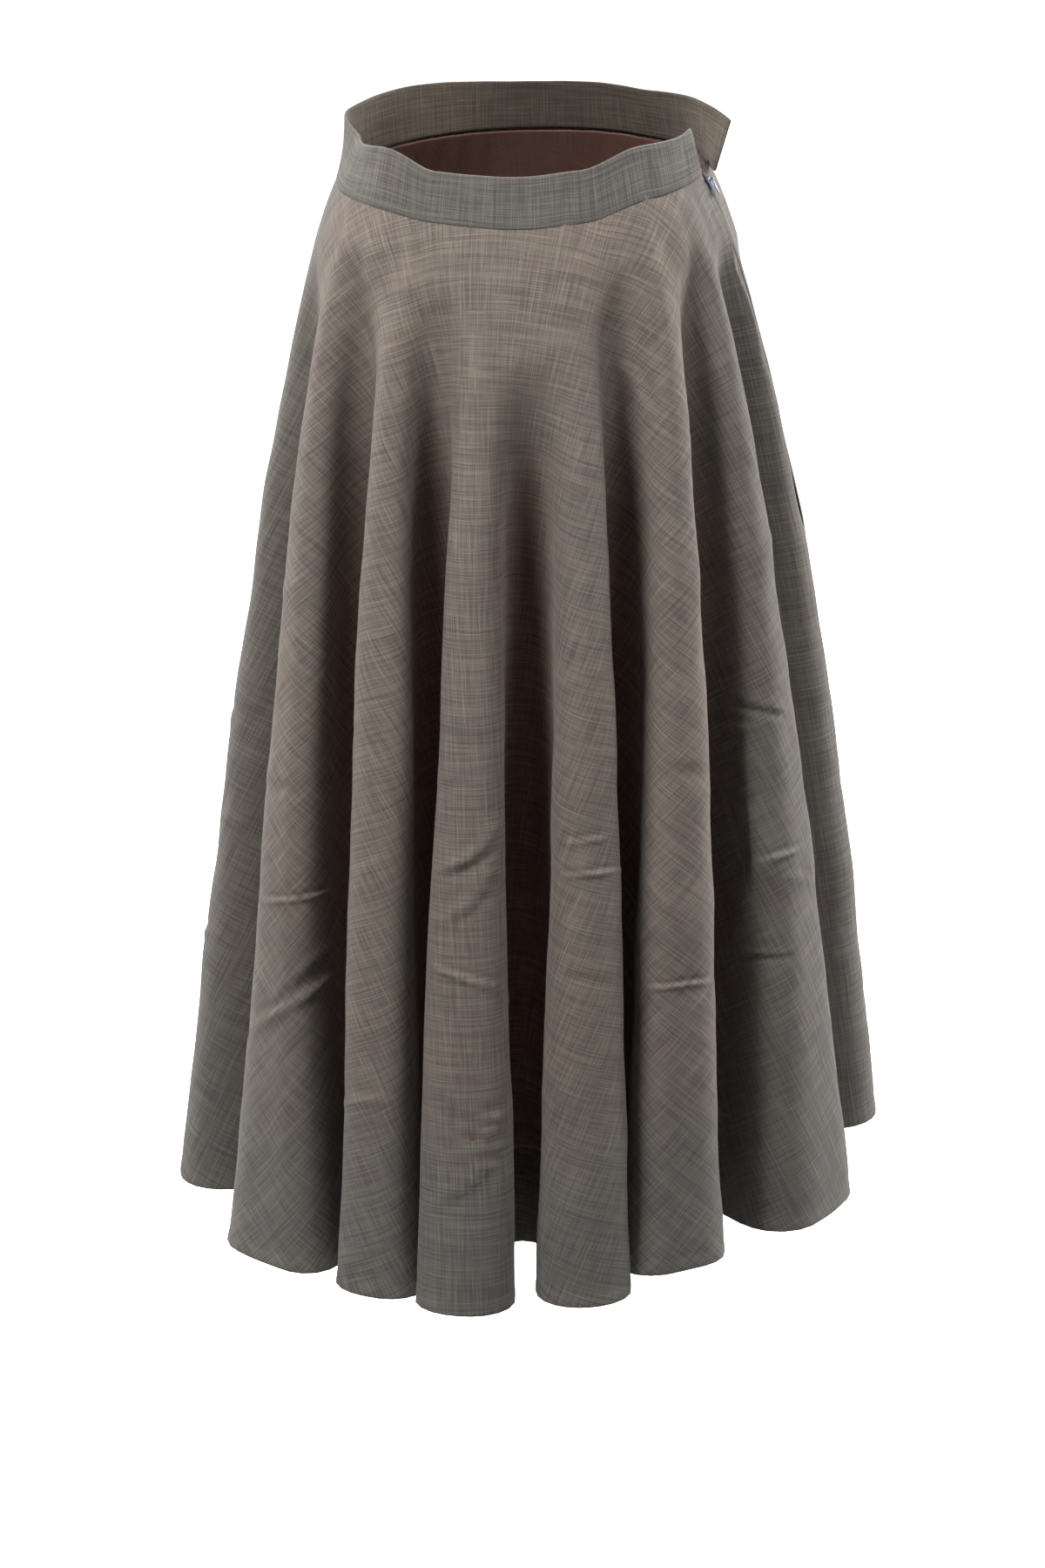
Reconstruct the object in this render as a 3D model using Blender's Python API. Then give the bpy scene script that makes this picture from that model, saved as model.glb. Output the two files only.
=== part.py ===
"""Full-circle midi skirt in its worn form, with an unfastened waistband and a closed side zip.

The skirt is two half circles of wool, sewn at the sides, that hang in sixteen deep flutes from a
stiff waistband. Inside hangs a lining of the same cut, shorter than the wool. The zip is in the
seam at the wearer's left, where the band's back end springs outward past the opening.

Metres, +Z up. The front faces -Y and the wearer's left is +X. The origin is the middle of the
waist ring. Angles round the body are in degrees from the front, and grow towards +X.
"""

import math

import bmesh
import bpy
import numpy as np
from mathutils import Matrix, Vector

# The waist seam is an ellipse that is lower in front.
WAIST_HALF_WIDTH = 0.1355
WAIST_HALF_DEPTH = 0.095
SEAM_Z = -0.024
SEAM_RISE_BACK = 0.24  # rise for each metre towards the back
SEAM_RISE_LEFT = 0.02  # rise for each metre towards the wearer's left

# The cloth, as lengths from the waist seam down and depths behind the wool's face.
CLOTH_LENGTH = 0.78
WOOL = 0.0012
LINING_FACE = 0.0036
LINING_BACK = 0.0046
LINING_ENDS = 0.90  # share of the drop
SEAM_GAP = 0.0003

# A crest swings out quickly below the waist and more slowly after that.
SPREAD_POWER = 0.62
SPREAD_START = 0.02
# A fold's direction round the body moves from its waist column to its hem column.
CREST_TURN = 1.5
VALLEY_TURN = 0.8
# A valley deepens quickly at first and more slowly after that.
VALLEY_POWER = 0.65
VALLEY_ONSET = 0.05

# One row a flute, in order round the body. The valley is the one on the crest's +X side.
# crest_flat is the share of each of its sides that is plain cloth at the hem, before it turns
# inward. A bow swells the crest's line halfway down. valley_start is the level where it begins.
FLUTE_COLUMNS = (
    "crest_deg", "crest_reach", "crest_waist_deg", "crest_flat", "crest_bow",
    "valley_deg", "valley_reach", "valley_waist_deg", "valley_start", "hem_z",
)
FLUTES = (
    (-104.0, 0.262, -104.0, 0.03, 0.003, -95.0, 0.160, -95.0, 0.06, -0.790),
    (-85.0, 0.266, -87.0, 0.04, -0.001, -66.0, 0.160, -79.0, 0.05, -0.793),
    (-44.5, 0.275, -70.0, 0.13, -0.002, -34.5, 0.150, -58.0, 0.03, -0.796),
    (-23.5, 0.277, -43.0, 0.03, 0.000, -17.0, 0.145, -31.0, 0.05, -0.799),
    (-9.2, 0.290, -13.5, 0.01, 0.000, 0.0, 0.150, 2.0, 0.11, -0.800),
    (10.2, 0.280, 19.0, 0.01, 0.000, 18.0, 0.145, 34.0, 0.04, -0.798),
    (27.0, 0.266, 50.0, 0.07, 0.002, 40.0, 0.150, 60.5, 0.04, -0.785),
    (60.0, 0.270, 68.5, 0.13, 0.002, 80.0, 0.165, 72.5, 0.05, -0.781),
    (97.0, 0.278, 79.0, 0.03, 0.003, 107.0, 0.155, 91.0, 0.07, -0.760),
    (117.0, 0.272, 104.0, 0.06, 0.002, 126.0, 0.150, 117.0, 0.05, -0.760),
    (136.0, 0.280, 130.0, 0.03, 0.002, 147.0, 0.143, 144.0, 0.08, -0.760),
    (157.0, 0.284, 157.0, 0.08, 0.000, 166.0, 0.150, 166.0, 0.12, -0.761),
    (176.0, 0.276, 176.0, 0.03, 0.003, 185.0, 0.143, 185.0, 0.05, -0.763),
    (195.0, 0.284, 195.0, 0.05, 0.000, 206.0, 0.148, 206.0, 0.09, -0.768),
    (216.0, 0.274, 216.0, 0.03, -0.003, 226.0, 0.145, 226.0, 0.06, -0.775),
    (236.0, 0.270, 236.0, 0.06, -0.003, 246.0, 0.152, 246.0, 0.08, -0.783),
)
RIGHT_SEAM_FLUTE = 0
LEFT_SEAM_FLUTE = 8

# The grid of a wall: levels down the cloth, and shares of the way across a fold's side.
LEVELS = (0.0, 0.03, 0.07, 0.12, 0.18, 0.25, 0.35, 0.48, 0.63, 0.78, 0.90, 1.0)
ACROSS = (0.0, 0.10, 0.25, 0.75, 0.90)

# The waistband: stiff double cloth. Its top edge leans in by lean. The seam and the top edge are
# lifted off their plain slope by seam_lift and top_lift.
BAND_RISE = 0.0355
WAIST_COLUMNS = ("deg", "seam_lift", "lean", "top_lift")
WAIST_SHAPE = (
    (-180.0, 0.000, 0.0120, 0.000),
    (-127.0, 0.000, -0.0060, 0.003),
    (-106.0, 0.000, -0.0020, 0.003),
    (-86.0, 0.001, 0.0165, -0.002),
    (-58.0, 0.004, 0.0110, 0.006),
    (-38.0, 0.002, 0.0100, -0.001),
    (0.0, 0.000, 0.0120, 0.000),
    (26.0, 0.002, 0.0115, 0.000),
    (50.0, 0.010, 0.0120, 0.001),
    (75.0, 0.010, 0.0090, -0.003),
    (97.0, 0.007, 0.0135, 0.002),
    (130.0, 0.002, 0.0120, 0.000),
    (180.0, 0.000, 0.0120, 0.000),
)
BAND_PROUD = 0.0008
BAND_INNER = -0.0020
BAND_STEPS = 72
# Its back end leaves the body over this angle, and ends this far out at its top and bottom edges.
SPRUNG_DEG = 48.0
SPRUNG_TOP = (0.029, 0.010, 0.003)
SPRUNG_BOTTOM = (0.009, 0.005, 0.001)

# The zip, in the seam at the wearer's left.
ZIP_SLIT = 0.0026  # width between the folded edges of the wool
ZIP_ENDS = 0.235  # share of the drop
TAPE_HALF_WIDTH = 0.0062
TAPE_FACE = 0.0021  # behind the wool's face
TAPE_BACK = 0.0030
CHAIN_WIDTH = 0.0018
SLIDER_WIDTH = 0.0060
SLIDER_LENGTH = 0.0085
SLIDER_TOP_LEVEL = 0.0035  # metres of cloth below the seam
SLIDER_THICK = 0.0018
SLIDER_CLEAR = 0.0004
BRIDGE_HEIGHT = 0.0020
BRIDGE_RADIUS = 0.00035
PULL_LENGTH = 0.0115
PULL_WIDTH = 0.0036
PULL_THICK = 0.0009
EYE_RADIUS = 0.00075
EYE_WALL = 0.00055


def column(name):
    """One column of the flute table."""
    place = FLUTE_COLUMNS.index(name)
    return [row[place] for row in FLUTES]


def fold_side(bend):
    """The middle line of a fold's side, from crest to valley, with a length of 1.

    Its direction turns by bend radians and back again as a sine, as hanging cloth does.
    """
    u = np.linspace(0.0, 1.0, 61)
    turn = bend * np.sin(math.pi * u)
    step_across = (np.cos(turn[1:]) + np.cos(turn[:-1])) / 120
    step_down = (np.sin(turn[1:]) + np.sin(turn[:-1])) / 120
    across = np.concatenate(([0.0], np.cumsum(step_across)))
    down = np.concatenate(([0.0], np.cumsum(step_down)))
    return u, across, down


BENDS = np.linspace(0.001, 2.15, 216)
BEND_ACROSS = np.array([fold_side(bend)[1][-1] for bend in BENDS])
BEND_DOWN = np.array([fold_side(bend)[2][-1] for bend in BENDS])


def folded(width, depth, flat, flat_first):
    """A fold's side of this width and depth: shares of its length, width and depth, and its length."""
    steepness = (1 - flat) * BEND_DOWN / (flat + (1 - flat) * BEND_ACROSS)
    u, across, down = fold_side(float(np.interp(depth / width, steepness, BENDS)))
    u = np.concatenate(([0.0], flat + (1 - flat) * u))
    across = np.concatenate(([0.0], flat + (1 - flat) * across))
    down = np.concatenate(([0.0], (1 - flat) * down))
    length = width / across[-1]
    across /= across[-1]
    down /= down[-1]
    if not flat_first:
        u, across, down = (1 - line[::-1] for line in (u, across, down))
    return u, across, down, length


def ellipse_reach(degrees):
    angle = math.radians(degrees)
    across = math.sin(angle) / WAIST_HALF_WIDTH
    along = math.cos(angle) / WAIST_HALF_DEPTH
    return 1.0 / math.hypot(across, along)


def spread(level):
    """How far out a crest is at this level: 0 at the waist and 1 at the hem."""
    start = SPREAD_START**SPREAD_POWER
    whole = (1 + SPREAD_START) ** SPREAD_POWER - start
    return ((level + SPREAD_START) ** SPREAD_POWER - start) / whole


def deepened(level, start):
    """How deep a valley is at this level: 0 at its start and 1 at the hem."""
    share = max(0.0, (level - start) / (1 - start))
    return share**VALLEY_POWER * (1 - math.exp(-share / VALLEY_ONSET))


def turned(hem_deg, waist_deg, level, power):
    return hem_deg + (waist_deg - hem_deg) * (1 - level) ** power


def fold_ends(level):
    """The crests and valleys in turn, all round at this level: (degrees, reach, hem height, flat)."""
    crest_deg = column("crest_deg")
    reach = column("crest_reach")
    crest_waist = column("crest_waist_deg")
    crest_flat = column("crest_flat")
    bow = column("crest_bow")
    valley_deg = column("valley_deg")
    valley_reach = column("valley_reach")
    valley_waist = column("valley_waist_deg")
    valley_start = column("valley_start")
    hem_z = column("hem_z")
    swell = 4 * level * (1 - level)
    ends = []
    for i in range(len(FLUTES)):
        after = (i + 1) % len(FLUTES)
        degrees = turned(crest_deg[i], crest_waist[i], level, CREST_TURN)
        growth = reach[i] - ellipse_reach(crest_deg[i])
        out = ellipse_reach(degrees) + growth * spread(level) + bow[i] * swell
        ends.append((degrees, out, hem_z[i], crest_flat[i] * level))
        growth_after = reach[after] - ellipse_reach(crest_deg[after])
        between = (growth + growth_after) / 2
        depth = ellipse_reach(valley_deg[i]) + between - valley_reach[i]
        degrees = turned(valley_deg[i], valley_waist[i], level, VALLEY_TURN)
        out = ellipse_reach(degrees) + between * spread(level)
        out -= depth * deepened(level, valley_start[i])
        ends.append((degrees, out, (hem_z[i] + hem_z[after]) / 2, 0.0))
    first = ends[0]
    ends.append((first[0] + 360.0, *first[1:]))
    return ends


def waist_column(name, degrees):
    """A column of the waist's table at this angle, eased between its rows."""
    place = WAIST_COLUMNS.index(name)
    degrees = (degrees + 180.0) % 360.0 - 180.0
    for low, high in zip(WAIST_SHAPE[:-1], WAIST_SHAPE[1:]):
        if degrees <= high[0]:
            share = (degrees - low[0]) / (high[0] - low[0])
            ease = share * share * (3 - 2 * share)
            return low[place] + (high[place] - low[place]) * ease
    return WAIST_SHAPE[-1][place]


def seam_height(x, y):
    """The height of the waist seam over this point of the plan."""
    lift = waist_column("seam_lift", math.degrees(math.atan2(x, -y)))
    return SEAM_Z + SEAM_RISE_BACK * y + SEAM_RISE_LEFT * x + lift


class Skirt:
    """The wool's outer face, as a function of a place across the folds and a level down the cloth.

    A place is a number: its whole part counts the folds' sides in order, and the rest is the share
    of the way across one, so even numbers are crests and odd numbers are valleys.
    """

    def __init__(self):
        self.known = {}

    def sides(self, level):
        if level not in self.known:
            ends = fold_ends(level)
            sides = []
            for start, end in zip(ends[:-1], ends[1:]):
                middle = (start[1] + end[1]) / 2
                width = math.radians(end[0] - start[0]) * middle
                depth = abs(end[1] - start[1])
                crest_first = start[3] >= end[3]
                sides.append((start, end, *folded(width, depth, start[3] + end[3], crest_first)))
            self.known[level] = sides
        return self.known[level]

    def plan(self, place, level):
        sides = self.sides(level)
        place = place % len(sides)
        number = int(place)
        start, end, u, across, down, _ = sides[number]
        share = place - number
        out = start[1] + (end[1] - start[1]) * float(np.interp(share, u, down))
        degrees = start[0] + (end[0] - start[0]) * float(np.interp(share, u, across))
        angle = math.radians(degrees)
        hem = start[2] + (end[2] - start[2]) * share
        return out * math.sin(angle), -out * math.cos(angle), hem

    def face(self, place, level):
        x, y, hem = self.plan(place, level)
        waist_x, waist_y, _ = self.plan(place, 0.0)
        top = seam_height(waist_x, waist_y)
        return Vector((x, y, top + (hem - top) * level))

    def normal(self, place, level):
        step = 0.02
        above = self.face(place, level - 0.01) if level > 0.01 else self.face(place, 0.0)
        below = self.face(place, level + 0.01) if level < 0.99 else self.face(place, 1.0)
        along = self.face(place + step, level) - self.face(place - step, level)
        return along.cross(above - below).normalized()

    def point(self, place, level, out):
        """A point of the cloth, moved out from the wool's face along its normal."""
        return self.face(place, level) + self.normal(place, level) * out

    def nudge(self, place, level, distance):
        """The place this far along the cloth, in metres, on the same side of the same fold."""
        number = int(place) if distance >= 0 else int(place) - 1
        return place + distance / self.sides(level)[number % (2 * len(FLUTES))][5]


SKIRT = Skirt()


def material(name, colour, roughness, metallic=0.0):
    made = bpy.data.materials.new(name)
    made.use_nodes = True
    shader = made.node_tree.nodes["Principled BSDF"]
    shader.inputs["Base Color"].default_value = (*colour, 1.0)
    shader.inputs["Roughness"].default_value = roughness
    shader.inputs["Metallic"].default_value = metallic
    made.diffuse_color = (*colour, 1.0)
    return made


def add_object(name, mesh, look):
    made = bpy.data.objects.new(name, mesh)
    made.data.materials.append(look)
    bpy.context.scene.collection.objects.link(made)
    return made


def add_wall(name, outer, inner, look):
    """A closed wall between two grids of points, each a list of rows of the same length."""
    build = bmesh.new()
    front = [[build.verts.new(p) for p in row] for row in outer]
    back = [[build.verts.new(p) for p in row] for row in inner]
    rows = len(front)
    columns = len(front[0])
    for i in range(rows - 1):
        for j in range(columns - 1):
            build.faces.new((front[i][j], front[i + 1][j], front[i + 1][j + 1], front[i][j + 1]))
            build.faces.new((back[i][j], back[i][j + 1], back[i + 1][j + 1], back[i + 1][j]))
    for i in range(rows - 1):
        build.faces.new((front[i][0], back[i][0], back[i + 1][0], front[i + 1][0]))
        build.faces.new((front[i + 1][-1], back[i + 1][-1], back[i][-1], front[i][-1]))
    for j in range(columns - 1):
        build.faces.new((front[0][j + 1], back[0][j + 1], back[0][j], front[0][j]))
        build.faces.new((front[-1][j], back[-1][j], back[-1][j + 1], front[-1][j + 1]))
    bmesh.ops.triangulate(build, faces=build.faces)
    if build.calc_volume(signed=True) < 0:
        bmesh.ops.reverse_faces(build, faces=build.faces)
    mesh = bpy.data.meshes.new(name)
    build.to_mesh(mesh)
    build.free()
    mesh.shade_smooth()
    mesh.set_sharp_from_angle(angle=math.radians(40))
    return add_object(name, mesh, look)


def panel_places(first, last, level, inset_first, inset_last):
    """The places of a panel's columns at one level, its edges set in from the seams by metres."""
    places = []
    for side in range(first, last):
        places += [side + share for share in ACROSS]
    places.append(last)
    places[0] = SKIRT.nudge(first, level, inset_first)
    places[-1] = SKIRT.nudge(last, level, -inset_last)
    return places


def zip_inset(level):
    """Half the slit beside the zip, closing to half a seam's gap below it."""
    wide = ZIP_SLIT / 2
    closed = SEAM_GAP / 2
    below = min(max((level - ZIP_ENDS - 0.01) / 0.09, 0.0), 1.0)
    return wide + (closed - wide) * below


def add_panel(name, first, last, zip_is_first, levels, face, back, look):
    """A half circle of cloth between two seams."""
    outer = []
    inner = []
    for level in levels:
        at_zip = zip_inset(level)
        at_seam = SEAM_GAP / 2
        if zip_is_first:
            places = panel_places(first, last, level, at_zip, at_seam)
        else:
            places = panel_places(first, last, level, at_seam, at_zip)
        outer.append([SKIRT.point(p, level, -face) for p in places])
        inner.append([SKIRT.point(p, level, -back) for p in places])
    return add_wall(name, outer, inner, look)


def waist_angle_at_zip():
    x, y, _ = SKIRT.plan(2 * LEFT_SEAM_FLUTE, 0.0)
    return math.degrees(math.atan2(x, -y))


def band_section(degrees, sprung, depth):
    """The band's bottom and top points at this angle, moved out from the waist line by depth."""
    angle = math.radians(degrees)
    reach = ellipse_reach(degrees)
    waist = Vector((reach * math.sin(angle), -reach * math.cos(angle), 0.0))
    out = Vector((waist.x / WAIST_HALF_WIDTH**2, waist.y / WAIST_HALF_DEPTH**2, 0.0)).normalized()
    bottom = waist + out * depth
    bottom.z = seam_height(bottom.x, bottom.y) + SEAM_GAP
    bottom += Vector(SPRUNG_BOTTOM) * sprung**8
    lean = waist_column("lean", degrees)
    rise = BAND_RISE + waist_column("top_lift", degrees)
    top = waist + out * (depth - lean) + Vector((0.0, 0.0, rise))
    top.z += seam_height(waist.x, waist.y) + SEAM_GAP
    top += Vector(SPRUNG_TOP) * sprung**2
    return bottom, top


def add_band(look):
    """The waistband, from its front end, round the back, to its sprung end."""
    zip_deg = waist_angle_at_zip()
    slit_deg = math.degrees(ZIP_SLIT / 2 / WAIST_HALF_WIDTH)
    start = zip_deg - slit_deg
    end = zip_deg + slit_deg - 360.0
    outer = []
    inner = []
    for i in range(BAND_STEPS + 1):
        degrees = start + (end - start) * i / BAND_STEPS
        sprung = max(0.0, 1 - (degrees - end) / SPRUNG_DEG)
        for wall, depth in ((outer, BAND_PROUD), (inner, BAND_INNER)):
            bottom, top = band_section(degrees, sprung, depth)
            wall.append([bottom, bottom.lerp(top, 0.5), top])
    return add_wall("waistband", outer, inner, look)


def add_zip_tape(look):
    """Tape behind both edges of the slit, sewn between the wool and the lining."""
    seam = 2 * LEFT_SEAM_FLUTE
    outer = []
    inner = []
    for level in (0.006, 0.03, 0.07, 0.12, 0.18, 0.25):
        places = []
        for share in (-1.0, -0.6, -0.2, 0.2, 0.6, 1.0):
            places.append(SKIRT.nudge(seam, level, share * TAPE_HALF_WIDTH))
        outer.append([SKIRT.point(p, level, -TAPE_FACE) for p in places])
        inner.append([SKIRT.point(p, level, -TAPE_BACK) for p in places])
    return add_wall("zip_tape", outer, inner, look)


def add_zip_chain(look):
    """The closed teeth, in the slit below the slider."""
    seam = 2 * LEFT_SEAM_FLUTE
    outer = []
    inner = []
    below_slider = (SLIDER_TOP_LEVEL + SLIDER_LENGTH + 0.0005) / CLOTH_LENGTH
    for level in (below_slider, 0.03, 0.07, 0.12, 0.18, 0.235):
        left = SKIRT.nudge(seam, level, -CHAIN_WIDTH / 2)
        right = SKIRT.nudge(seam, level, CHAIN_WIDTH / 2)
        outer.append([SKIRT.point(p, level, -0.0002) for p in (left, right)])
        inner.append([SKIRT.point(p, level, -TAPE_FACE + SEAM_GAP) for p in (left, right)])
    return add_wall("zip_chain", outer, inner, look)


def zip_frame(distance):
    """A frame on the wool's face over the slit: x out of the cloth, y to the back, z up the cloth."""
    seam = 2 * LEFT_SEAM_FLUTE
    level = distance / CLOTH_LENGTH
    origin = SKIRT.face(seam, level)
    out = SKIRT.normal(seam, level)
    up = (SKIRT.face(seam, level) - SKIRT.face(seam, level + 0.02)).normalized()
    back = up.cross(out).normalized()
    up = out.cross(back)
    turn = Matrix((out, back, up)).transposed().to_4x4()
    return Matrix.Translation(origin) @ turn


def add_block(build, low, high):
    made = bmesh.ops.create_cube(build, size=1.0)
    for vert in made["verts"]:
        for axis in range(3):
            share = vert.co[axis] + 0.5
            vert.co[axis] = low[axis] + (high[axis] - low[axis]) * share
    return made["verts"]


def mesh_from(build, name):
    bmesh.ops.recalc_face_normals(build, faces=build.faces)
    mesh = bpy.data.meshes.new(name)
    build.to_mesh(mesh)
    build.free()
    return mesh


def union(target, other_mesh, name):
    """Joins another closed mesh to an object as one body."""
    other = bpy.data.objects.new(name, other_mesh)
    bpy.context.scene.collection.objects.link(other)
    other.parent = target
    other.hide_render = True
    other.display_type = "WIRE"
    join = target.modifiers.new(name, "BOOLEAN")
    join.operation = "UNION"
    join.solver = "EXACT"
    join.object = other
    return other


def pivot_out():
    """How far the pull's pin is from the wool's face."""
    return SLIDER_CLEAR + SLIDER_THICK + BRIDGE_HEIGHT - BRIDGE_RADIUS


def add_slider(frame, look):
    """The slider's body, a slim wedge, with two posts that hold the pull's pin."""
    build = bmesh.new()
    half = SLIDER_WIDTH / 2
    low = SLIDER_CLEAR
    high = SLIDER_CLEAR + SLIDER_THICK
    verts = add_block(build, (low, -half, -SLIDER_LENGTH), (high, half, 0.0))
    for vert in verts:
        if vert.co.z < -SLIDER_LENGTH / 2:
            vert.co.y *= 0.72
    slider = add_object("zip_slider", mesh_from(build, "zip_slider"), look)
    slider.matrix_world = frame
    middle = -SLIDER_LENGTH * 0.35
    post_in = PULL_WIDTH * 0.22
    top = pivot_out() + BRIDGE_RADIUS + 0.0003
    for number, side in enumerate((-1, 1)):
        post = bmesh.new()
        near = side * (post_in + 0.0003)
        far = side * (post_in + 0.0011)
        low_y, high_y = sorted((near, far))
        add_block(post, (high - 0.0004, low_y, middle - 0.0009), (top, high_y, middle + 0.0009))
        union(slider, mesh_from(post, "post"), f"slider_post_{number}")
    pin = bmesh.new()
    reach = post_in + 0.0009
    bmesh.ops.create_cone(
        pin, segments=12, radius1=BRIDGE_RADIUS, radius2=BRIDGE_RADIUS, depth=2 * reach,
        cap_ends=True,
        matrix=Matrix.Translation((pivot_out(), 0.0, middle)) @ Matrix.Rotation(math.pi / 2, 4, "X"),
    )
    union(slider, mesh_from(pin, "pin"), "slider_pin")
    return slider, middle


def add_pull(frame, middle, look):
    """The pull tab, hung on the pin by an eye, with a wider rounded end."""
    axis = bpy.data.objects.new("zip_pull_axis", None)
    bpy.context.scene.collection.objects.link(axis)
    axis.matrix_world = frame @ Matrix.Translation((pivot_out(), 0.0, middle))
    half_eye = PULL_WIDTH * 0.22
    eye_out = EYE_RADIUS + EYE_WALL
    build = bmesh.new()
    thick = PULL_THICK / 2
    # The neck and the plate, seen along the cloth: across (y) and down (z).
    shape = (
        (half_eye, -EYE_RADIUS - 0.0001), (half_eye, -0.0042), (PULL_WIDTH / 2, -0.0058),
        (PULL_WIDTH / 2, -PULL_LENGTH + 0.0010), (PULL_WIDTH / 2 - 0.0010, -PULL_LENGTH),
    )
    ring = list(shape) + [(-y, z) for y, z in reversed(shape)]
    front = [build.verts.new((thick, y, z)) for y, z in ring]
    back = [build.verts.new((-thick, y, z)) for y, z in ring]
    build.faces.new(front)
    build.faces.new(list(reversed(back)))
    count = len(ring)
    for i in range(count):
        after = (i + 1) % count
        build.faces.new((front[i], back[i], back[after], front[after]))
    pull = add_object("zip_pull", mesh_from(build, "zip_pull"), look)
    pull.parent = axis
    eye = bmesh.new()
    sides = 16
    rings = []
    for x_half in (-half_eye, half_eye):
        for radius in (EYE_RADIUS, eye_out):
            rings.append([
                eye.verts.new((
                    radius * math.cos(2 * math.pi * i / sides), x_half,
                    radius * math.sin(2 * math.pi * i / sides),
                ))
                for i in range(sides)
            ])
    in_low, out_low, in_high, out_high = rings
    for i in range(sides):
        after = (i + 1) % sides
        eye.faces.new((out_low[i], out_low[after], out_high[after], out_high[i]))
        eye.faces.new((in_low[after], in_low[i], in_high[i], in_high[after]))
        eye.faces.new((in_low[i], in_low[after], out_low[after], out_low[i]))
        eye.faces.new((in_high[after], in_high[i], out_high[i], out_high[after]))
    ring_object = union(pull, mesh_from(eye, "eye"), "pull_eye")
    ring_object.parent = axis
    return pull


def main():
    for old in list(bpy.data.objects):
        bpy.data.objects.remove(old)
    wool = material("wool", (0.205, 0.190, 0.162), 0.92)
    lining = material("lining", (0.150, 0.075, 0.055), 0.60)
    tape = material("zip_tape", (0.060, 0.055, 0.050), 0.85)
    metal = material("zip_metal", (0.300, 0.320, 0.360), 0.35, 1.0)

    left = 2 * LEFT_SEAM_FLUTE
    right = 2 * RIGHT_SEAM_FLUTE
    whole = 2 * len(FLUTES)
    lining_levels = [level for level in LEVELS if level <= LINING_ENDS]
    lining_levels[0] = 0.004
    add_panel("skirt_front", right, left, False, LEVELS, 0.0, WOOL, wool)
    add_panel("skirt_back", left, whole, True, LEVELS, 0.0, WOOL, wool)
    add_panel("lining_front", right, left, False, lining_levels, LINING_FACE, LINING_BACK, lining)
    add_panel("lining_back", left, whole, True, lining_levels, LINING_FACE, LINING_BACK, lining)
    add_band(wool)
    add_zip_tape(tape)
    add_zip_chain(metal)
    frame = zip_frame(SLIDER_TOP_LEVEL)
    _, middle = add_slider(frame, metal)
    add_pull(frame, middle, metal)


if __name__ == "__main__":
    main()
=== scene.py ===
"""Full-circle midi skirt in its worn form: wool, lining, waistband, side zip and studio.

Laid out as a Blender add-on and run as a script. Metres, +Z up, the front faces -Y and the
wearer's left is +X. The wool's form comes from the flute table, as a function of a place across
the folds and a level down the cloth. Places count the folds' sides: even numbers are crests and
odd ones valleys. Levels run from 0 at the waist seam to 1 at the hem.
"""

import math

import bmesh
import bpy
import numpy as np
from bpy.props import FloatProperty, FloatVectorProperty, PointerProperty
from mathutils import Matrix, Vector


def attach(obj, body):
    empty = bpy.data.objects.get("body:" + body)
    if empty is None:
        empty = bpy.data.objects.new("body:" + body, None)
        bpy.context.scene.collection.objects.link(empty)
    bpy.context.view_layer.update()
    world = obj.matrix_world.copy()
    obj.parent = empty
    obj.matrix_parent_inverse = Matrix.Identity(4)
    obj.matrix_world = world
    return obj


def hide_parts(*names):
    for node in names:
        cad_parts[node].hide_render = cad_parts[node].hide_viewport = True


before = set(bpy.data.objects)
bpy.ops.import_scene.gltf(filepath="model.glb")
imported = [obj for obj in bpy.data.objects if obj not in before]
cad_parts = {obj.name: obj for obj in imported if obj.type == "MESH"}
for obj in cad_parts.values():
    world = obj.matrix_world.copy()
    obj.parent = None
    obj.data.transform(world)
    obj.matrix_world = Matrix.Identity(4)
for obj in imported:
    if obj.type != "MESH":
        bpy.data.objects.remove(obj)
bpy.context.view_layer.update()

bl_info = {
    "name": "Circle Skirt",
    "version": (1, 0, 0),
    "blender": (4, 5, 0),
    "location": "View3D > Sidebar > Skirt",
    "description": "Builds a full-circle wool skirt with lining, waistband and side zip",
    "category": "Object",
}

SKIRT_BODY = "skirt"
PULL_BODY = "zip_pull"

# The waist seam is an ellipse that is lower in front.
WAIST_HALF_WIDTH = 0.1355
WAIST_HALF_DEPTH = 0.095
SEAM_Z = -0.024
SEAM_RISE_BACK = 0.24
SEAM_RISE_LEFT = 0.02

# The cut: each panel is half of a ring of cloth.
CLOTH_LENGTH = 0.78
INNER_RADIUS = 0.1164
LINING_ENDS = 0.90
LINING_HEM = 0.010
SEAM_GAP = 0.0003

# How crests spread and valleys deepen down the cloth.
SPREAD_POWER = 0.62
SPREAD_START = 0.02
CREST_TURN = 1.5
VALLEY_TURN = 0.8
VALLEY_POWER = 0.65
VALLEY_ONSET = 0.05

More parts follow.
